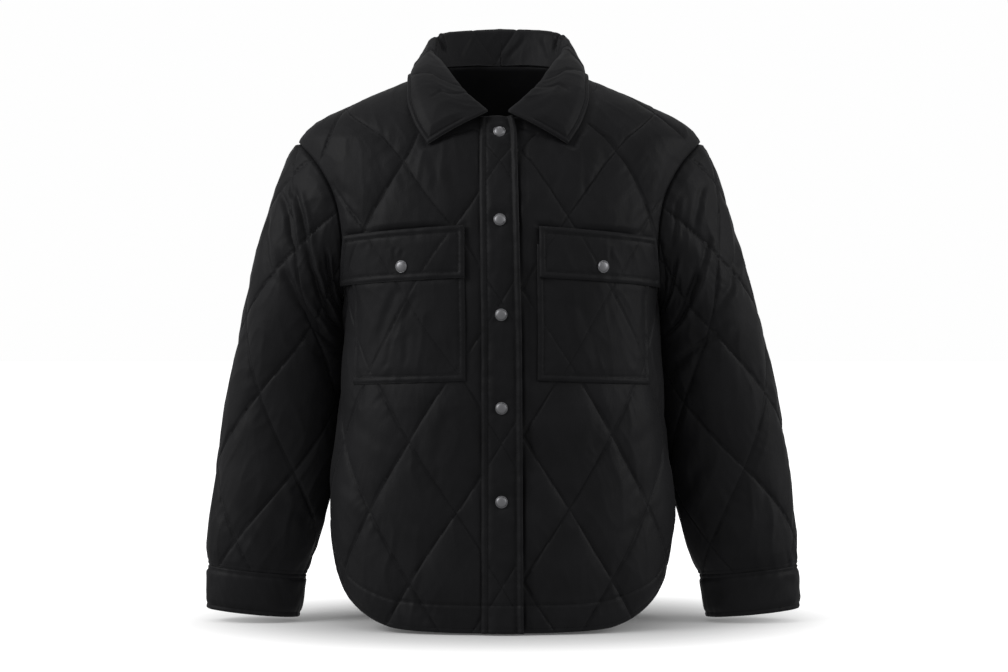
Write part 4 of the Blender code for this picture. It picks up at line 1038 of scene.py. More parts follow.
COLLAR_WALL = 0.0030
COLLAR_ROLL = 0.0040
COLLAR_REST = 0.0036
COLLAR_SEAM = 0.0002     # from the neckline to the middle of the collar's sewn edge
COLLAR_LEAN = -0.0045
COLLAR = table(
    "share  neck_x  neck_z   roll_x  roll_y  roll_z   edge_x  edge_z  bulge",
    (0.0, 0.0, 0.008, 0.0, 0.068, 0.054, 0.0, -0.012, 0.006),
    (0.18, 0.03, 0.0074, 0.036, 0.0645, 0.0525, 0.045, -0.013, 0.006),
    (0.34, 0.055, 0.0048, 0.069, 0.049, 0.0475, 0.087, -0.0165, 0.006),
    (0.48, 0.0715, 0.0019, 0.085, 0.024, 0.035, 0.108, -0.0185, 0.004),
    (0.6, 0.0785, 0.0, 0.085, -0.001, 0.0195, 0.114, -0.0163, 0.002),
    (0.7, 0.0763, -0.0085, 0.0722, -0.033, 0.0005, 0.1145, -0.03, 0.003),
    (0.8, 0.066, -0.024, 0.059, -0.0605, -0.019, 0.1145, -0.049, 0.004),
    (0.9, 0.046, -0.0475, 0.0385, -0.084, -0.043, 0.106, -0.078, 0.004),
    (1.0, 0.0228, -0.0686, 0.0125, -0.0975, -0.0655, 0.0885, -0.1075, 0.004),
)
collar_at = curves(COLLAR)
SIDE_SHARE = 0.60


def corner_outline(corners, side):
    rows = [row[1:] for row in zip(*corners.values()) if row[0] == side]
    return [(side * p, q) for p, q in (on_cut(x, z) for x, z in rows)]


def placket_outline():
    heights = np.linspace(PLACKET_TOP, hem_z(0.0), 90)
    points = [(PLACKET_LEFT_EDGE, cut_height(z)) for z in heights]
    return points + [(placket_free_edge(z), cut_height(z)) for z in reversed(heights)]


def body_point(x, z, back, lift):
    point, normal = on_body(run_at_x(x, z, back), z, back)
    return point + normal * lift, normal


def collar_section(share, side):
    """The middle of the cloth at one station, from the neck seam over the roll to the edge."""
    at = {name: float(column(share)) for name, column in collar_at.items()}
    back = share < SIDE_SHARE
    neck, _ = body_point(at["neck_x"], at["neck_z"], back, -WALL / 2)
    edge, edge_normal = body_point(at["edge_x"], at["edge_z"], back, COLLAR_REST)
    roll = np.array((at["roll_x"], at["roll_y"], at["roll_z"]))
    up = unit(roll - (neck + edge) / 2)
    out = edge - neck
    out = unit(out - up * (out @ up))
    centre = roll - up * COLLAR_ROLL
    stand_top, fall_top = centre - out * COLLAR_ROLL, centre + out * COLLAR_ROLL
    start = neck + unit(stand_top - neck) * COLLAR_SEAM
    points = [start, (start + stand_top) / 2, stand_top]
    points += [
        centre + COLLAR_ROLL * (up * math.sin(a) - out * math.cos(a))
        for a in np.radians((45, 90, 135))
    ]
    points.append(fall_top)
    for part in (0.3, 0.6, 0.85):
        bulge = at["bulge"] * 4 * part * (1 - part)
        points.append(fall_top + (edge - fall_top) * part + edge_normal * bulge)
    points = np.array(points + [edge])
    lean = COLLAR_LEAN * min(1.0, share / SIDE_SHARE)
    points[:, 0] = side * points[:, 0] + lean
    return points


def resampled(section, count):
    """A smooth row of evenly spaced points through a short one."""
    steps = np.linalg.norm(np.diff(section, axis=0), axis=1) ** 0.5
    knots = np.concatenate([[0.0], np.cumsum(steps)])
    tangents = np.gradient(section, knots, axis=0)
    fine = np.linspace(0, knots[-1], 260)
    i = np.clip(np.searchsorted(knots, fine) - 1, 0, len(knots) - 2)
    width = (knots[i + 1] - knots[i])[:, None]
    u = (fine - knots[i])[:, None] / width
    dense = hermite(section[i], section[i + 1], width, tangents[i], tangents[i + 1], u)
    run = lengths_along(dense)
    return at_lengths(dense, run, np.linspace(0, run[-1], count))


# ---- Sewing ---------------------------------------------------------------------------
def surface_rows(lines, outline, place, high, relief, keep):
    """Rows of points and normals on a finished surface, cut where a line leaves the outline."""
    rows = []
    for line in lines:
        good = inside(line, outline)
        if keep is not None:
            good &= keep(line)
        turns = np.flatnonzero(np.diff(np.concatenate([[0], good, [0]])))
        for start, end in zip(turns[::2], turns[1::2]):
            if end - start > 3:
                part = line[start:end]
                point, normal = place(*part.T)
                rise = high + relief(part, nearest(part, outline, True)[0])
                rows.append((point + normal * rise[:, None], normal))
    return rows


def sewn(name, outline, place, walls, relief, topstitched, quilting, keeps=(None, None),
         under=None, step=STEP):
    """A cloth piece and its stitches, along its rows of topstitching and its quilted lines."""
    low, high = walls
    quilted = quilting.lines(outline)
    piece = wall_mesh(name, outline, place, low, high, relief, topstitched + quilted, under, step)
    threads = []
    for lines, keep in zip((topstitched, quilted), keeps):
        threads += surface_rows(lines, outline, place, high, relief, keep)
    return piece, thread_mesh(f"{name}_stitches", threads)


def sew_on(node, made):
    """Hangs a cloth piece and its stitches on the root, and hides the CAD part that it stands for."""
    piece, thread = made
    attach(piece, "root")
    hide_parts(node)
    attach(thread, "root")


def sew_outline(node, made):
    """The same for a piece that is cut to an outline."""
    sew_on(node, made)


# ---- Fronts and back ------------------------------------------------------------------
HEM_BAND = curve([0.0, 0.45, 0.62, 0.80, 0.92, 1.0], [0.0345, 0.0345, 0.031, 0.021, 0.016, 0.015])
HEM_EDGE_STITCH = 0.006
BODY_WALLS = (-WALL, 0.0)
COVER_REACH = {"placket": 0.004, "flap": 0.007, "pocket": 0.030, "collar": 0.008}
FLAP_REACH, FLAP_SNAP_REACH, SNAP_REACH = 0.006, 0.009, 0.010
LEAST_WADDING = 0.3              # no quilting thread is sewn where there is less
SHOULDER_PRESS = 0.55
SEAM_REACH = 0.018
ARMHOLE_REACH, SHOULDER_REACH = 0.022, 0.042
TROUGH_MIDDLE, TROUGH_WIDTH = 0.003, 0.0060      # beside the placket's free edge
TROUGH_DEPTH, TROUGH_WAVE, TROUGH_LIMIT = 0.0044, 0.0034, 0.0013
BACK_BACKING, BACK_RIPPLE = 0.0018, 0.0006       # the wadding on the inner side
SLEEVE_BACKING = 0.0012
COVER_MARGIN, COVER_TOP, COVER_FOOT, COVER_SIDE = 0.002, 0.012, -0.0775, 0.2
FRONT_CREASES = table(
    "side  p0  q0  p1  q1  width  depth  bow",
    (-1, 0.205, -0.15, 0.15, -0.205, 0.0075, 0.0012, 0.05),
    (-1, 0.198, -0.185, 0.16, -0.212, 0.0063, 0.001, -0.05),
    (-1, 0.12, -0.1, 0.112, -0.175, 0.0075, 0.0009, 0.04),
    (-1, 0.085, -0.11, 0.075, -0.185, 0.0063, 0.0008, -0.04),
    (-1, 0.06, -0.125, 0.047, -0.2, 0.0063, 0.0007, 0.03),
    (-1, 0.155, -0.105, 0.14, -0.16, 0.0075, 0.0008, 0.03),
    (-1, 0.215, -0.43, 0.13, -0.48, 0.0088, 0.0005, 0.06),
    (-1, 0.225, -0.52, 0.15, -0.56, 0.0088, 0.001, -0.05),
    (-1, 0.06, -0.43, 0.08, -0.52, 0.0075, 0.0008, 0.05),
    (-1, 0.11, -0.56, 0.06, -0.62, 0.0075, 0.0008, -0.05),
    (1, 0.2, -0.14, 0.15, -0.19, 0.0075, 0.0011, 0.05),
    (1, 0.198, -0.175, 0.165, -0.21, 0.0063, 0.0009, 0.04),
    (1, 0.13, -0.095, 0.12, -0.17, 0.0075, 0.0008, -0.03),
    (1, 0.075, -0.1, 0.07, -0.18, 0.0069, 0.0008, 0.04),
    (1, 0.1, -0.13, 0.105, -0.2, 0.0063, 0.0007, -0.04),
    (1, 0.215, -0.45, 0.14, -0.5, 0.0088, 0.0006, 0.05),
    (1, 0.22, -0.545, 0.14, -0.585, 0.0081, 0.001, -0.05),
    (1, 0.055, -0.47, 0.085, -0.56, 0.0075, 0.0008, 0.05),
    (1, 0.12, -0.42, 0.1, -0.5, 0.0075, 0.0007, -0.05),
)
BACK_CREASES = table(
    "p0  q0  p1  q1  width  depth  bow",
    (0.205, -0.15, 0.14, -0.19, 0.0075, 0.0015, 0.05),
    (0.205, -0.19, 0.15, -0.24, 0.0069, 0.0014, -0.05),
    (-0.205, -0.145, -0.15, -0.195, 0.0075, 0.0015, -0.05),
    (-0.2, -0.195, -0.155, -0.235, 0.0063, 0.0013, 0.05),
    (0.09, -0.06, 0.08, -0.15, 0.0075, 0.0011, 0.03),
    (-0.07, -0.07, -0.085, -0.15, 0.0075, 0.0011, -0.03),
    (0.02, -0.1, 0.012, -0.19, 0.0069, 0.0009, 0.03),
    (0.17, -0.33, 0.08, -0.37, 0.008, 0.0014, 0.05),
    (-0.18, -0.35, -0.09, -0.4, 0.008, 0.0014, -0.05),
    (0.15, -0.44, 0.06, -0.47, 0.008, 0.0013, -0.04),
    (-0.16, -0.47, -0.07, -0.5, 0.008, 0.0013, 0.04),
    (0.2, -0.54, 0.12, -0.58, 0.008, 0.0013, 0.05),
    (-0.2, -0.56, -0.11, -0.6, 0.008, 0.0013, -0.04),
    (0.03, -0.33, 0.04, -0.43, 0.0075, 0.001, -0.03),
)


def hem_rows(back):
    """Hem lines of one half as rows on the cut: the band's stitch and the edge's stitch."""
    edge = np.array(hem_outline(back))
    edge[:, 1] = cut_height(edge[:, 1])
    inward = leftward(np.gradient(edge, axis=0))
    rows = []
    for band in (HEM_BAND(np.linspace(0, 1, len(edge))), np.full(len(edge), HEM_EDGE_STITCH)):
        line = edge + inward * band[:, None]
        run = lengths_along(line)
        rows.append(at_lengths(line, run, np.arange(0, run[-1], STEP)))
    return rows


def flipped(line, side):
    return np.asarray(line) * np.array((side, 1.0))


def collar_cover(back):
    """What the collar lies over: all of the back's neck, or the neck of the wearer's left front."""
    edge = [
        on_cut(x + COVER_MARGIN, z - COVER_MARGIN, back)
        for share, x, z in zip(COLLAR["share"], COLLAR["edge_x"], COLLAR["edge_z"])
        if (share <= SIDE_SHARE) == back or share == SIDE_SHARE
    ]
    top, far = cut_height(COVER_TOP), COVER_SIDE
    if back:
        return [(-p, q) for p, q in reversed(edge)] + edge + [(far, top), (-far, top)]
    return [(0.0, cut_height(COVER_FOOT))] + edge[::-1] + [(far, top), (0.0, top)]


def flattened(points, covers):
    """How full the wadding is: nothing under a piece that is sewn on top."""
    full = np.ones(len(points))
    for cover, reach in covers:
        distance = nearest(points, cover, True)[0]
        full *= np.where(inside(points, cover), 0.0, np.clip(distance / reach, 0, 1) ** 0.7)
    return full


def shoulder_share(cut):
    """The wadding lies flatter over the shoulders, where the jacket hangs."""
    return 1 - SHOULDER_PRESS * smooth(cut, -0.13, -0.03)


def seam_share(distance):
    """The wadding is pressed flat at a seam."""
    return np.clip(distance / SEAM_REACH, 0, 1) ** 0.6


def armhole_share(distance, cut):
    """The wadding is pressed flat beside an armhole seam, widely so at the shoulder."""
    reach = ARMHOLE_REACH + SHOULDER_REACH * smooth(cut, -0.17, -0.09)
    return smooth(distance / reach, 0.0, 1.0)


def body_relief(quilting, covers, armholes, hems, rows, seeds, cover_gain=1.0):
    """The lift of the show side of a front or the back, as a function of points of its cut."""
    wrinkle_seed, gather_seed, hem_seed = seeds

    def relief(flat, edge_distance):
        covered, seam = flattened(flat, covers), seam_share(edge_distance)
        full = covered * seam * shoulder_share(flat[:, 1])
        gathers = 0.0
        for i, armhole in enumerate(armholes):
            distance, along = nearest(flat, armhole)
            full *= armhole_share(distance, flat[:, 1])
            gathers = gathers + seam_gathers(distance, along, gather_seed + i, "armhole")
        rise = quilting.relief(*flat.T, full) + gathers
        rise += wrinkles(flat, wrinkle_seed) * np.minimum(covered * cover_gain, 1) * seam
        rise += creases(flat, rows) * covered
        for line, row in zip(hems, ("hem_band", "hem_edge")):
            rise += stitched(*nearest(flat, line[::3]), hem_seed, row)
        return rise

    return relief


def front(side, name):
    outline, placket_cut = front_outline(side), placket_outline()
    quilting = front_quilting(side, PUFF, 2 if side > 0 else 40)
    covers = list(zip(
        (placket_cut, corner_outline(FLAP_CORNERS, side), corner_outline(POCKET_CORNERS, side),
         flipped(collar_cover(False), side)),
        COVER_REACH.values()))
    hems = [flipped(line, side) for line in hem_rows(False)]
    armhole = armhole_line(side, False)
    rows = crease_rows(FRONT_CREASES, side, lambda p, q: (side * p, q))
    flat_relief = body_relief(
        quilting, covers, [armhole], hems, rows, (50 + side, 61 + side, 71 + side), 1.5)
    heights = np.linspace(PLACKET_TOP, hem_z(0.0), 120)
    free_edge = np.stack([placket_free_edge(heights), cut_height(heights)], axis=1)

    def relief(flat, edge_distance):
        rise = flat_relief(flat, edge_distance)
        if side > 0:        # the cloth sinks a little in front of the placket's free edge
            distance, along = nearest(flat, free_edge)
            trough = bell(distance - TROUGH_MIDDLE, TROUGH_WIDTH) * ~inside(flat, placket_cut)
            depth = TROUGH_DEPTH - TROUGH_WAVE * noise(along / 0.017, 0.3, 81)
            rise -= np.minimum(trough * depth, TROUGH_LIMIT)
        return rise

    def off_covers(line):
        return flattened(line, covers) > LEAST_WADDING

    def off_armhole(line):
        return off_covers(line) & (armhole_share(nearest(line, armhole)[0], line[:, 1]) > 0.4)

    made = sewn(f"front_{name}", outline, on_front, BODY_WALLS, relief, hems, quilting,
                (off_covers, off_armhole))
    sew_outline(f"front_{name}", made)


def back_piece():
    outline = back_outline()
    quilting = Quilting(*CROSSING, seed=80)
    covers = [(collar_cover(True), COVER_REACH["collar"])]
    hems = [np.vstack([flipped(line, -1)[::-1], line[1:]]) for line in hem_rows(True)]
    armholes = [armhole_line(side, True) for side in (-1, 1)]
    rows = list(zip(*BACK_CREASES.values()))
    relief = body_relief(quilting, covers, armholes, hems, rows, (90, 95, 99))

    def under(flat):
        ripple = BACK_RIPPLE * noise(flat[:, 0] / 0.02, flat[:, 1] / 0.03, 101)
        return BACK_BACKING * quilting.backing(flat) + ripple

    def off_covers(line):
        return flattened(line, covers) > LEAST_WADDING

    made = sewn("back", outline, on_back, BODY_WALLS, relief, hems, quilting,
                (off_covers, off_covers), under)
    sew_outline("back", made)


# ---- Sleeves and cuffs ----------------------------------------------------------------
SLEEVE_CREASES = table(
    # turns in degrees from the outermost line, forward positive; lengths down the sleeve
    "side turn0  down0  turn1  down1  width  depth  bow",
    (-1, 24, 0.064, 76, 0.116, 0.0062, 0.0052, 0.04),
    (-1, 40, 0.046, 82, 0.086, 0.0058, 0.005, 0.03),
    (-1, 72, 0.08, 152, 0.185, 0.0085, 0.006, 0.05),
    (-1, 58, 0.14, 140, 0.235, 0.009, 0.005, 0.04),
    (-1, 20, 0.1, 62, 0.18, 0.0075, 0.0036, -0.04),
    (-1, 100, 0.045, 150, 0.11, 0.007, 0.0042, 0.04),
    (-1, 118, 0.25, 168, 0.33, 0.0102, 0.0023, -0.05),
    (-1, 88, 0.455, 150, 0.5, 0.0084, 0.0016, 0.05),
    (-1, 30, 0.48, 84, 0.52, 0.0072, 0.0013, -0.05),
    (-1, -40, 0.06, -80, 0.12, 0.008, 0.005, -0.04),
    (-1, -70, 0.08, -150, 0.19, 0.0085, 0.0056, -0.05),
    (-1, -50, 0.17, -130, 0.25, 0.0085, 0.004, 0.04),
    (-1, -95, 0.3, -160, 0.37, 0.0096, 0.002, 0.04),
    (-1, -60, 0.43, -130, 0.49, 0.0084, 0.0018, -0.05),
    (1, 54, 0.1, 112, 0.15, 0.008, 0.0036, 0.04),
    (1, 6, 0.125, 86, 0.215, 0.0085, 0.0032, 0.04),
    (1, 42, 0.04, 72, 0.08, 0.0065, 0.0022, -0.03),
    (1, 66, 0.02, 104, 0.045, 0.006, 0.0024, 0.03),
    (1, 84, 0.11, 150, 0.205, 0.0085, 0.0056, 0.05),
    (1, 104, 0.06, 152, 0.13, 0.007, 0.004, -0.04),
    (1, 70, 0.235, 150, 0.3, 0.0085, 0.0036, -0.04),
    (1, 110, 0.4, 160, 0.46, 0.009, 0.0018, 0.05),
    (1, 60, 0.5, 120, 0.53, 0.0072, 0.0013, 0.04),
    (1, 36, 0.58, 46, 0.604, 0.0026, 0.002, 0.0),
    (1, 58, 0.578, 48, 0.604, 0.0026, 0.002, 0.0),
    (1, -36, 0.07, -84, 0.13, 0.008, 0.005, 0.04),
    (1, -66, 0.09, -148, 0.2, 0.0085, 0.0056, 0.05),
    (1, -56, 0.19, -130, 0.26, 0.0085, 0.004, -0.04),
    (1, -100, 0.32, -160, 0.39, 0.0096, 0.002, -0.04),
    (1, -64, 0.44, -126, 0.5, 0.0084, 0.0017, 0.05),
)
UNDERARM_FULLNESS = 0.0035
UNDERARM_DOWN = 0.20         # its middle, down the sleeve
SEAM_PRESS = 0.35            # the wadding's height along the underarm seam
CAP_RADIUS, WRIST_RADIUS = 0.075, 0.055
WRIST_STITCH = 0.0046        # from the cuff seam, on the sleeve and on the cuff
CUFF_END_STITCH = 0.0060
CUFF_RADIUS = 0.052
CUFF_INSIDE = 0.0030
CUFF_FULLNESS, CUFF_FLOW, CUFF_CRUMPLE = 0.0016, 0.0011, 0.0004
CUFF_EDGE_DROP, CUFF_EDGE_WIDTH = 0.0009, 0.0012


def sleeve_relief(side, quilting):
    """The lift of a sleeve's show side, as a function of points of its cut."""
    rows = crease_rows(
        SLEEVE_CREASES, side, lambda t, down: (side * math.radians(t) * SLEEVE_RADIUS, -down))

    def relief(flat, edge_distance):
        turn, down = side * flat[:, 0] / SLEEVE_RADIUS, -flat[:, 1]
        start, rest = np.maximum(down, 0.0), SLEEVE_LENGTH - down
        ends = seam_share(np.maximum(np.minimum(down, rest), 0))
        full = ends * (SEAM_PRESS + (1 - SEAM_PRESS) * seam_share(edge_distance))
        rise = quilting.relief(*flat.T, full)
        rise += wrinkles(flat, 130 + side, 1.25) * full
        rise += creases(flat, rows) * ends
        gather = seam_gathers(start, turn * CAP_RADIUS, 140 + side, "cap")
        rise += gather * smooth(np.cos(turn), -0.9, 0.3)
        rise += seam_gathers(rest, turn * WRIST_RADIUS, 145 + side, "wrist")
        rise += stitched(np.abs(rest - WRIST_STITCH), turn * WRIST_RADIUS, 147 + side, "wrist")
        under = bell(np.abs(turn) - math.pi, 0.55)
        rise += UNDERARM_FULLNESS * under * bell(down - UNDERARM_DOWN, 0.09)
        ease = CAP_EASE * smooth(down, 0.0, 0.004) * np.exp(-start / 0.020)
        rise += ease * (0.4 + 0.6 * np.cos(turn / 2))
        return rise - TUCK_DROP * (1 - smooth(down, -0.0020, 0.0010))

    return relief


def sleeve(side, name):
    quilting = sleeve_quilting(side, 120 if side > 0 else 150)
    edge = math.pi * SLEEVE_RADIUS - 0.002
    across = np.arange(-edge, edge, STEP)
    wrist = np.stack([across, np.full(len(across), WRIST_STITCH - SLEEVE_LENGTH)], axis=1)
    made = sewn(f"sleeve_{name}", sleeve_outline(), on_sleeve(side), BODY_WALLS,
                sleeve_relief(side, quilting), [wrist], quilting,
                under=lambda flat: SLEEVE_BACKING * quilting.backing(flat))
    sew_on(f"sleeve_{name}", made)


def cuff(side, name):
    around = 240
    profile_rows = np.concatenate([
        np.array([0.0, 0.0008, 0.0018, 0.0030]),
        np.arange(0.0050, CUFF_HEIGHT - 0.0095, 0.0021),
        CUFF_HEIGHT - np.array([0.0082, 0.0068, 0.0060, 0.0052, 0.0036, 0.0020, 0.0009, 0.0]),
    ])
    top = SLEEVE_LENGTH + SEAM_GAP
    downs = top + profile_rows * (CUFF_HEIGHT - SEAM_GAP) / CUFF_HEIGHT
    turns = np.arange(around) * math.tau / around
    down, turn = np.meshgrid(downs, turns, indexing="ij")
    point, normal = on_sleeve(side)(turn * SLEEVE_RADIUS, -down)
    below, rest, run = down - top, CUFF_HEIGHT - (down - top), turn * CUFF_RADIUS
    flow, small = (
        noise(np.sin(turn) * wide + shift, np.cos(turn) * wide + below / high, seed + side)
        for wide, shift, high, seed in ((2.2, 9, 0.030, 160), (7.0, 3, 0.012, 164)))
    rise = CUFF_FULLNESS * smooth(below, 0.0, 0.012) * smooth(rest, 0.004, 0.014)
    rise += CUFF_FLOW * flow * smooth(below, 0, 0.008) + CUFF_CRUMPLE * small
    rise += seam_gathers(below, run, 168 + side, "cuff")
    rise += stitched(np.abs(below - WRIST_STITCH), run, 176 + side, "cuff_seam")
    rise += stitched(np.abs(rest - CUFF_END_STITCH), run, 172 + side, "cuff_end")
    rise -= CUFF_EDGE_DROP * (bell(below, CUFF_EDGE_WIDTH) + bell(rest, CUFF_EDGE_WIDTH))
    outer, inner = point + normal * rise[..., None], point - normal * CUFF_INSIDE
    cut = np.stack([run, -down], axis=-1)
    piece = shell_mesh(f"cuff_{name}", outer, inner, True, cut, flip=side > 0)
    paths = []
    for distance in (rest[:, 0] - CUFF_END_STITCH, below[:, 0] - WRIST_STITCH):
        row = np.argmin(np.abs(distance))
        paths.append(tuple(np.vstack([grid[row], grid[row][:1]]) for grid in (outer, normal)))
    made = piece, thread_mesh(f"cuff_{name}_stitches", paths)
    sew_on(f"cuff_{name}", made)


# ---- Pieces laid on the fronts --------------------------------------------------------
PATCH_CREASES = table(
    # across from the middle of the front, and height
    "side  x0  z0  x1  z1  width  depth  bow",
    (-1, 0.12, -0.28, 0.15, -0.355, 0.006, 0.0012, 0.06),
    (-1, 0.098, -0.29, 0.128, -0.34, 0.0055, 0.0009, 0.05),
    (-1, 0.132, -0.345, 0.142, -0.385, 0.005, 0.001, -0.05),
    (-1, 0.112, -0.335, 0.116, -0.38, 0.0045, 0.0009, 0.04),
    (-1, 0.116, -0.236, 0.122, -0.25, 0.003, 0.0008, 0.0),
    (-1, 0.128, -0.234, 0.125, -0.25, 0.003, 0.0008, 0.0),
    (1, 0.09, -0.3, 0.118, -0.38, 0.006, 0.0006, -0.05),
    (1, 0.15, -0.285, 0.125, -0.33, 0.0055, 0.0005, 0.05),
    (1, 0.132, -0.232, 0.132, -0.252, 0.0026, 0.001, 0.0),
    (1, 0.15, -0.34, 0.165, -0.385, 0.005, 0.0005, 0.04),
)
PATCH_PUFF = {-1: 0.0011, 1: 0.0006}      # the wadding of a pocket and its flap
EDGE_ROLL, EDGE_ROLL_WIDTH = 0.0008, 0.0030       # between an edge and its topstitching
EDGE_CRUMPLE, EDGE_CRUMPLE_SIZE = 0.0007, 0.016
FLAP_CURL, FLAP_CURL_WIDTH = 0.0012, 0.012        # at a flap's lower corners
PLACKET_PUFF = 0.0022
PLACKET_ROLL, PLACKET_ROLL_WIDTH = 0.0009, 0.0028
FREE_EDGE_LIFT, FREE_EDGE_WAVE, FREE_EDGE_WIDTH = 0.0034, 0.0013, 0.0055
SEWN_EDGE_DROP, SEWN_EDGE_WIDTH = 0.0011, 0.0045
PINCH, PINCH_WIDTH = 0.0007, 0.006                # of the cloth round a snap


def inset_corners(outline, by, sides):
    """Lines a distance inside some of a four-sided outline's edges, ending where they meet."""
    corners = np.array(outline, float)
    turned = math.copysign(by, signed_area(outline))
    moved = []
    for i in range(4):
        along = unit(corners[(i + 1) % 4] - corners[i])
        inward = np.array((-along[1], along[0])) * turned
        moved.append((corners[i] + inward if i in sides else corners[i], along))
    meets = []
    for i in range(4):
        (a, u), (b, v) = moved[i - 1], moved[i]
        scale = ((b[0] - a[0]) * v[1] - (b[1] - a[1]) * v[0]) / (u[0] * v[1] - u[1] * v[0])
        meets.append(a + u * scale)
    return [(meets[i], meets[(i + 1) % 4]) for i in sides]


def straight(start, end):
    parts = max(2, int(math.dist(start, end) / STEP))
    return start + (end - start) * np.linspace(0, 1, parts + 1)[:, None]


def patch(name, side, outline, low, seed, stitch_sides, covers, corner_curl):
    """A pocket or flap: topstitched inside its edges, with quilting over its middle."""
    high = low + POCKET_WALL
    quilting = front_quilting(side, PATCH_PUFF[side], seed + side)
    seed += 10 + side
    stitches = [straight(*ends) for ends in inset_corners(outline, TOPSTITCH, stitch_sides)]
    rows = crease_rows(PATCH_CREASES, side, lambda x, z: flipped(on_cut(x, z), side))

    def relief(flat, edge_distance):
        inner = smooth(edge_distance, TOPSTITCH - 0.0012, TOPSTITCH + 0.012)
        full = flattened(flat, covers) * inner
        rise = quilting.relief(*flat.T, full)
        rise += (wrinkles(flat, seed, 1.1) + creases(flat, rows)) * full
        rise += EDGE_ROLL * bell(edge_distance - TOPSTITCH / 2, EDGE_ROLL_WIDTH)
        crumple = EDGE_CRUMPLE * noise(*(flat / EDGE_CRUMPLE_SIZE).T, seed + 7)
        rise += crumple * (1 - inner)
        for i, line in enumerate(stitches):
            rise += stitched(*nearest(flat, line[::3]), seed + 11 + i, "patch")
        for corner in outline[1:3]:
            rise += corner_curl * bell(np.hypot(*(flat - corner).T), FLAP_CURL_WIDTH)
        return rise

    def keep(line):
        return nearest(line, outline, True)[0] > TOPSTITCH + 0.001

    made = sewn(name, outline, on_front, (low, high), relief, stitches, quilting, (None, keep),
                step=FINE_STEP)
    sew_outline(name, made)


def disc(p, q):
    """The round place that a snap presses flat."""
    angles = np.radians(range(0, 360, 20))
    return [(p + SNAP_SEAT * math.cos(a), q + SNAP_SEAT * math.sin(a)) for a in angles]


def placket():
    outline = placket_outline()
    quilting = Quilting(*CROSSING, height=PLACKET_PUFF, seed=200)
    heights = np.arange(hem_z(0.0) + 0.0005, PLACKET_TOP - 0.0005, STEP)
    sewn_side = np.full(len(heights), PLACKET_LEFT_EDGE + TOPSTITCH)
    edges = (sewn_side, placket_free_edge(heights) - TOPSTITCH)
    across = np.arange(PLACKET_LEFT_EDGE + 0.001, 0.026, STEP)
    stitches = [np.stack([edge, cut_height(heights)], axis=1) for edge in edges]
    stitches += [
        np.stack([across, np.full(len(across), MIDDLE_HEM_CUT + rise)], axis=1)
        for rise in (HEM_BAND(0.0), HEM_EDGE_STITCH)]
    snap_places = [(0.0, cut_height(z)) for z in SNAP_HEIGHTS]
    discs = [(disc(*place), SNAP_REACH) for place in snap_places]

    def to_sides(flat):
        """How far points are from the sewn side and from the free edge."""
        return flat[:, 0] - PLACKET_LEFT_EDGE, placket_free_edge(height(flat[:, 1])) - flat[:, 0]

    def relief(flat, edge_distance):
        p, q = flat.T
        from_seam, free = to_sides(flat)
        side_gap = np.minimum(from_seam, free)
        covered = flattened(flat, discs)
        full = smooth(side_gap, TOPSTITCH - 0.001, TOPSTITCH + 0.008) * covered
        rise = quilting.relief(p, q, full)
        rise += wrinkles(flat, 210, 0.7) * full
        rise += PLACKET_ROLL * bell(side_gap - TOPSTITCH / 2, PLACKET_ROLL_WIDTH)
        rise += 0.0006 * noise(p / 0.012, q / 0.018, 214)
        for i, line in enumerate(stitches):
            row = "placket" if i < 3 else "placket_end"
            rise += stitched(*nearest(flat, line[::3]), 220 + i, row)
        wave = FREE_EDGE_LIFT + FREE_EDGE_WAVE * noise(q / 0.022, 0.7, 230)
        rise += wave * bell(free, FREE_EDGE_WIDTH)
        rise -= SEWN_EDGE_DROP * bell(from_seam, SEWN_EDGE_WIDTH)
        for snap_p, snap_q in snap_places:
            away, angle = np.hypot(p - snap_p, q - snap_q), np.arctan2(q - snap_q, p - snap_p)
            pinch = PINCH * bell(away - SNAP_RADIUS, PINCH_WIDTH) * (away > SNAP_RADIUS * 0.9)
            rise += pinch * np.sin(angle * 5 + snap_q * 90)
        pressed = 1 - smooth(covered, 0.0, 0.5)
        return rise + (np.minimum(rise, 0.0) - rise) * pressed

    def keep(line):
        return (np.minimum(*to_sides(line)) > TOPSTITCH + 0.001) & (flattened(line, discs) > 0.2)

    made = sewn("front_placket", outline, on_front, (LAY_GAP, PLACKET_HIGH), relief, stitches,
                quilting, (None, keep), step=FINE_STEP)
    sew_outline("front_placket", made)


# ---- Collar ---------------------------------------------------------------------------
COLLAR_STITCH = 0.0062
COLLAR_STITCH_WIDTH = 0.0014
COLLAR_FALL = (0.040, 0.055)     # lengths over it between which its stand turns into its fall
COLLAR_THREAD_FROM = 0.045
COLLAR_FULLNESS = 0.0017
COLLAR_EDGE_ROLL, COLLAR_EDGE_ROLL_WIDTH = 0.0007, 0.0026
COLLAR_EDGE_DROP = 0.0010
COLLAR_CROSSING, COLLAR_PUFF = (-0.006, -0.004), 0.0020
COLLAR_CREASES = table(
    "p0  q0  p1  q1  width  depth  bow",
    (0.235, -0.06, 0.205, -0.09, 0.004, 0.001, 0.05),
    (0.19, -0.055, 0.185, -0.085, 0.0045, 0.0012, -0.05),
    (0.15, -0.06, 0.14, -0.09, 0.0045, 0.0011, 0.05),
    (-0.24, -0.062, -0.215, -0.092, 0.004, 0.001, -0.05),
    (-0.195, -0.058, -0.2, -0.088, 0.0045, 0.0012, 0.05),
    (-0.15, -0.058, -0.16, -0.088, 0.0045, 0.0011, -0.05),
    (-0.05, -0.01, -0.03, -0.04, 0.004, 0.0011, 0.05),
    (0.01, -0.008, 0.035, -0.042, 0.004, 0.0011, -0.05),
    (0.075, -0.01, 0.06, -0.042, 0.004, 0.001, 0.05),
    (-0.089, -0.05, -0.08, -0.018, 0.003, 0.0042, 0.03),
    (0.089, -0.05, 0.08, -0.018, 0.003, 0.0042, -0.03),
)


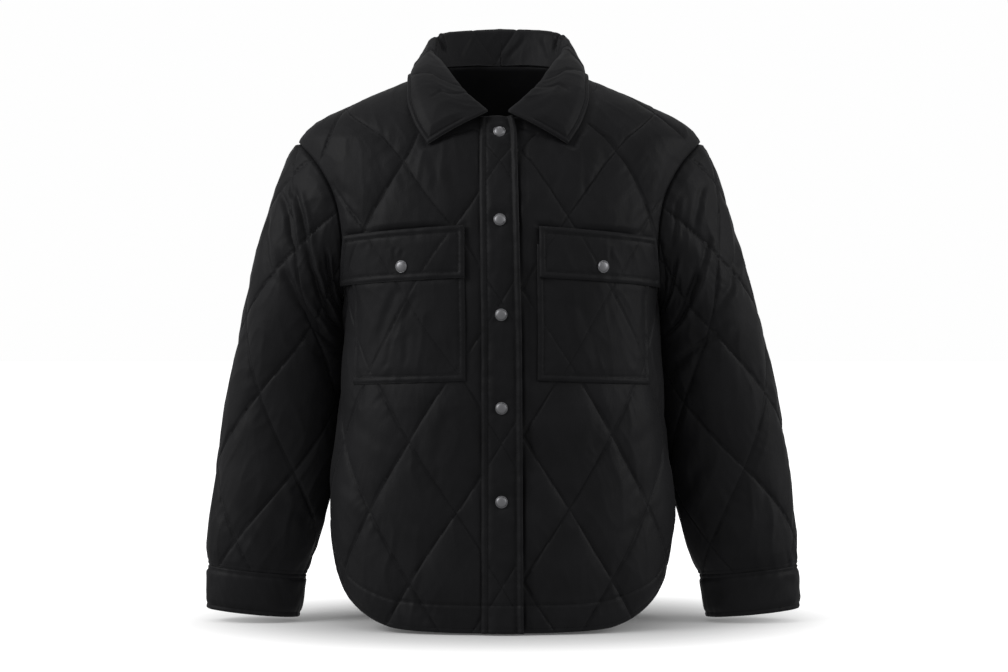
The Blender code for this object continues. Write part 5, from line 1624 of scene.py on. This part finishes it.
def collar_middle(share, across):
    """A section of the collar; near the middle of the back the two halves run into one."""
    side = 1 if share >= 0 else -1
    own, other = (resampled(collar_section(abs(share), k), across) for k in (side, -side))
    weight = 0.5 + 0.5 * float(smooth(abs(share), 0.0, 0.15))
    return own * weight + other * (-1, 1, 1) * (1 - weight)


def collar():
    stations, across = ((321, 84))
    shares = np.sin(np.linspace(-1, 1, stations) * 1.45) / math.sin(1.45)
    middle = np.array([collar_middle(share, across) for share in shares])
    normals = unit(np.cross(np.gradient(middle, axis=0), np.gradient(middle, axis=1)))
    run_over, run_along = lengths_along(middle, axis=1), lengths_along(middle)
    to_edge = run_over[:, -1:] - run_over
    to_end = np.minimum(run_along, run_along[-1:] - run_along)
    p, q = run_along - run_along[-1:] / 2, -run_over
    flat = np.stack([p.ravel(), q.ravel()], axis=1)

    fall = smooth(run_over, *COLLAR_FALL)
    rim = np.minimum(to_edge, to_end)
    rise = COLLAR_FULLNESS * smooth(rim, COLLAR_STITCH, COLLAR_STITCH + 0.012) * fall
    rise += COLLAR_EDGE_ROLL * bell(rim - COLLAR_STITCH / 2, COLLAR_EDGE_ROLL_WIDTH) * fall
    along = np.where(to_edge < to_end, p, q)
    off_stitch = np.abs(rim - COLLAR_STITCH)
    rise += stitched(off_stitch, along, 240, "collar", COLLAR_STITCH_WIDTH) * fall
    rise += wrinkles(flat, 250, 0.75).reshape(p.shape) * smooth(rim, 0.004, 0.02)
    rows = zip(*COLLAR_CREASES.values())
    rise += creases(flat, rows).reshape(p.shape) * smooth(rim, 0.005, 0.012)
    inside_neck = (1 - fall) * smooth(to_end, 0.02, 0.05)
    quilting = Quilting(*COLLAR_CROSSING, height=COLLAR_PUFF, seed=260)
    rise += quilting.relief(p, q, inside_neck)
    rise -= COLLAR_EDGE_DROP * bell(rim, EDGE_WIDTH)
    outer = middle + normals * (COLLAR_WALL / 2 + rise)[..., None]
    inner = middle - normals * (COLLAR_WALL / 2)
    piece = shell_mesh("collar", outer, inner, False, np.stack([p, q], axis=-1))

    station, column = np.arange(stations), np.arange(across)
    paths = [(station, np.argmin(np.abs(to_edge - COLLAR_STITCH), axis=1), to_end > COLLAR_STITCH)]
    falling = (to_edge > COLLAR_STITCH) & (run_over > COLLAR_THREAD_FROM)
    for distance in (run_along, run_along[-1:] - run_along):
        paths.append((np.argmin(np.abs(distance - COLLAR_STITCH), axis=0), column, falling))
    rows = [(outer[i, j][good[i, j]], normals[i, j][good[i, j]]) for i, j, good in paths]
    made = piece, thread_mesh("collar_stitches", rows)
    sew_on("collar", made)


# ---- Snaps ----------------------------------------------------------------------------
SNAP_PROFILE = table(
    "radius    rise",
    (0.9, 0.0), (0.985, 0.00008), (1.0, 0.00036), (0.988, 0.00056), (0.966, 0.00058),
    (0.915, 0.00004), (0.865, 0.00074), (0.82, 0.00132), (0.755, 0.00182), (0.66, 0.00222),
    (0.54, 0.00255), (0.4, 0.00281), (0.27, 0.00296), (0.135, 0.00304),
)
SNAP_TOP = 0.00307
SNAP_AROUND = 56


def snap(name, node, place, high):
    """A turned cap on the surface at a place of the cut: a rolled rim, a groove and a low dome."""
    seat, normal = on_front(*place)
    seat = seat + normal * (high + SEAM_GAP)
    turn = np.array(Vector((0, 0, 1)).rotation_difference(Vector(normal)).to_matrix())
    angles = np.arange(SNAP_AROUND) * math.tau / SNAP_AROUND
    radius, rise = (np.array(SNAP_PROFILE[key])[:, None] for key in ("radius", "rise"))
    across = radius * SNAP_RADIUS
    rings = np.stack(np.broadcast_arrays(across * np.cos(angles), across * np.sin(angles), rise), -1)
    points = np.vstack([rings.reshape(-1, 3), [(0, 0, SNAP_TOP), (0, 0, 0.0)]])
    faces = list(grid_faces(len(rings), SNAP_AROUND, True))
    top = len(points) - 2
    for i in range(SNAP_AROUND):
        j = (i + 1) % SNAP_AROUND
        faces += [[top - SNAP_AROUND + i, top - SNAP_AROUND + j, top], [j, i, top + 1]]
    piece = make_object(name, points @ turn.T + seat, faces, GUNMETAL)
    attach(piece, "root")
    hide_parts(node)


# ---- The jacket -----------------------------------------------------------------------
def dress():
    back_piece()
    for side, name in ((-1, "right"), (1, "left")):
        front(side, name)
        sleeve(side, name)
        cuff(side, name)
        pocket, flap = (corner_outline(rows, side) for rows in (POCKET_CORNERS, FLAP_CORNERS))
        place = flipped(on_cut(*POCKET_SNAPS[side]), side)
        patch(f"pocket_{name}", side, pocket, LAY_GAP, 300, (0, 1, 2),
              [(flap, FLAP_REACH)], 0.0)
        patch(f"pocket_flap_{name}", side, flap, FLAP_LOW, 330, (0, 1, 2, 3),
              [(disc(*place), FLAP_SNAP_REACH)], FLAP_CURL)
        snap(f"pocket_cap_{name}", f"pocket_snap_{name}", place, FLAP_HIGH)
    placket()
    for i, z in enumerate(SNAP_HEIGHTS, 1):
        snap(f"cap_{i}", f"snap_{i}", (0.0, cut_height(z)), PLACKET_HIGH)
    collar()


# ---- The studio -----------------------------------------------------------------------
CAMERA_PLACE = (0.003, -3.0, -0.3416)
METRES_PER_PIXEL = 0.00127
SENSOR_WIDTH, PICTURE_WIDTH = 36.0, 1008
FLOOR_Z, FLOOR_SIZE = -0.7035, 30.0
FLOOR_REACH = (0.44, 0.34)      # half sizes of the floor's middle, where its glow is dimmed as painted shade
# painted light: the floor's emission, dim as painted shade round the jacket and a bright painted glow
# away from it
FLOOR_PAINTED_SHADE, FLOOR_PAINTED_GLOW = 0.04, 0.95
BACKDROP = 0.991
ROOM_LIGHT = 0.40               # the white room as the jacket sees it
WHITE = (1.0, 1.0, 1.0)
LIGHT_AIM = (0.0, 0.0, -0.30)
LIGHT_SIZE = 1.3
LIGHTS = table(
    "name  x  y  z  power",
    ("key", -2.4, -1.2, 1.5, 32.0),
    ("left", -2.6, -0.6, 0.5, 16.0),
    ("right", 2.6, -0.6, 0.5, 21.0),
    ("top", 0.0, 0.0, 2.6, 8.0),
    ("fill", 1.6, -2.2, 1.4, 2.0),
)


def painted_light_paper_material():
    """Matt white paper with painted light: it glows away from the jacket, where it runs into the
    backdrop, and its glow is dimmed round the jacket as painted shade.
    """
    paper, tree, shader = new_material("floor_paper_painted_light")
    place = add_node(tree, "TexCoord", {}, "Object")
    scaled = add_node(
        tree, "VectorMath", {0: place, 1: (*FLOOR_REACH, 1.0)}, "Vector", operation="DIVIDE")
    away = add_node(tree, "VectorMath", {0: scaled}, "Value", operation="LENGTH")
    # painted shade and glow: the emission rises from dim near the jacket to bright far from it
    glow = add_node(tree, "MapRange", {
        "Value": away, "From Min": 0.75, "From Max": 1.50,
        "To Min": FLOOR_PAINTED_SHADE, "To Max": FLOOR_PAINTED_GLOW}, "Result", interpolation_type="SMOOTHSTEP")
    fill(tree, shader, {
        "Base Color": (0.70, 0.70, 0.70, 1.0), "Roughness": 1.0, "Specular IOR Level": 0.0,
        "Emission Color": (*WHITE, 1.0), "Emission Strength": glow})
    return paper


def studio():
    """A white floor just under the hem with painted shade round the jacket, soft white light all round,
    and a key from the left.
    """
    scene = bpy.context.scene
    scene.view_settings.view_transform = "Standard"
    scene.view_settings.look = "None"
    scene.view_settings.exposure = 0.0
    scene.view_settings.gamma = 1.0
    world = bpy.data.worlds.new("studio")
    scene.world = world
    world.use_nodes = True
    tree = world.node_tree
    seen = add_node(tree, "LightPath", {}, "Is Camera Ray")
    strength = add_node(
        tree, "MapRange", {"Value": seen, "To Min": ROOM_LIGHT, "To Max": BACKDROP}, "Result")
    fill(tree, tree.nodes["Background"], {"Color": (*WHITE, 1.0), "Strength": strength})

    mesh = bpy.data.meshes.new("floor")
    corners = ((-1, -1), (1, -1), (1, 1), (-1, 1))
    mesh.from_pydata(
        [(x * FLOOR_SIZE, y * FLOOR_SIZE, FLOOR_Z) for x, y in corners], [], [(0, 1, 2, 3)])
    mesh.materials.append(painted_light_paper_material())
    floor = bpy.data.objects.new("floor", mesh)
    scene.collection.objects.link(floor)
    floor.visible_diffuse = False
    floor.visible_glossy = False

    for name, *place, power in zip(*LIGHTS.values()):
        lamp = bpy.data.lights.new(name, "AREA")
        lamp.size = LIGHT_SIZE
        lamp.energy = power
        lamp.color = WHITE
        holder = bpy.data.objects.new(name, lamp)
        holder.location = place
        direction = Vector(LIGHT_AIM) - Vector(place)
        holder.rotation_euler = direction.to_track_quat("-Z", "Y").to_euler()
        scene.collection.objects.link(holder)

    view = bpy.data.cameras.new("camera")
    view.sensor_width = SENSOR_WIDTH
    view.lens = SENSOR_WIDTH * -CAMERA_PLACE[1] / (PICTURE_WIDTH * METRES_PER_PIXEL)
    view.clip_end = 100.0
    camera = bpy.data.objects.new("camera", view)
    camera.location = CAMERA_PLACE
    camera.rotation_euler = (math.pi / 2, 0.0, 0.0)
    scene.collection.objects.link(camera)
    scene.camera = camera


studio()
dress()
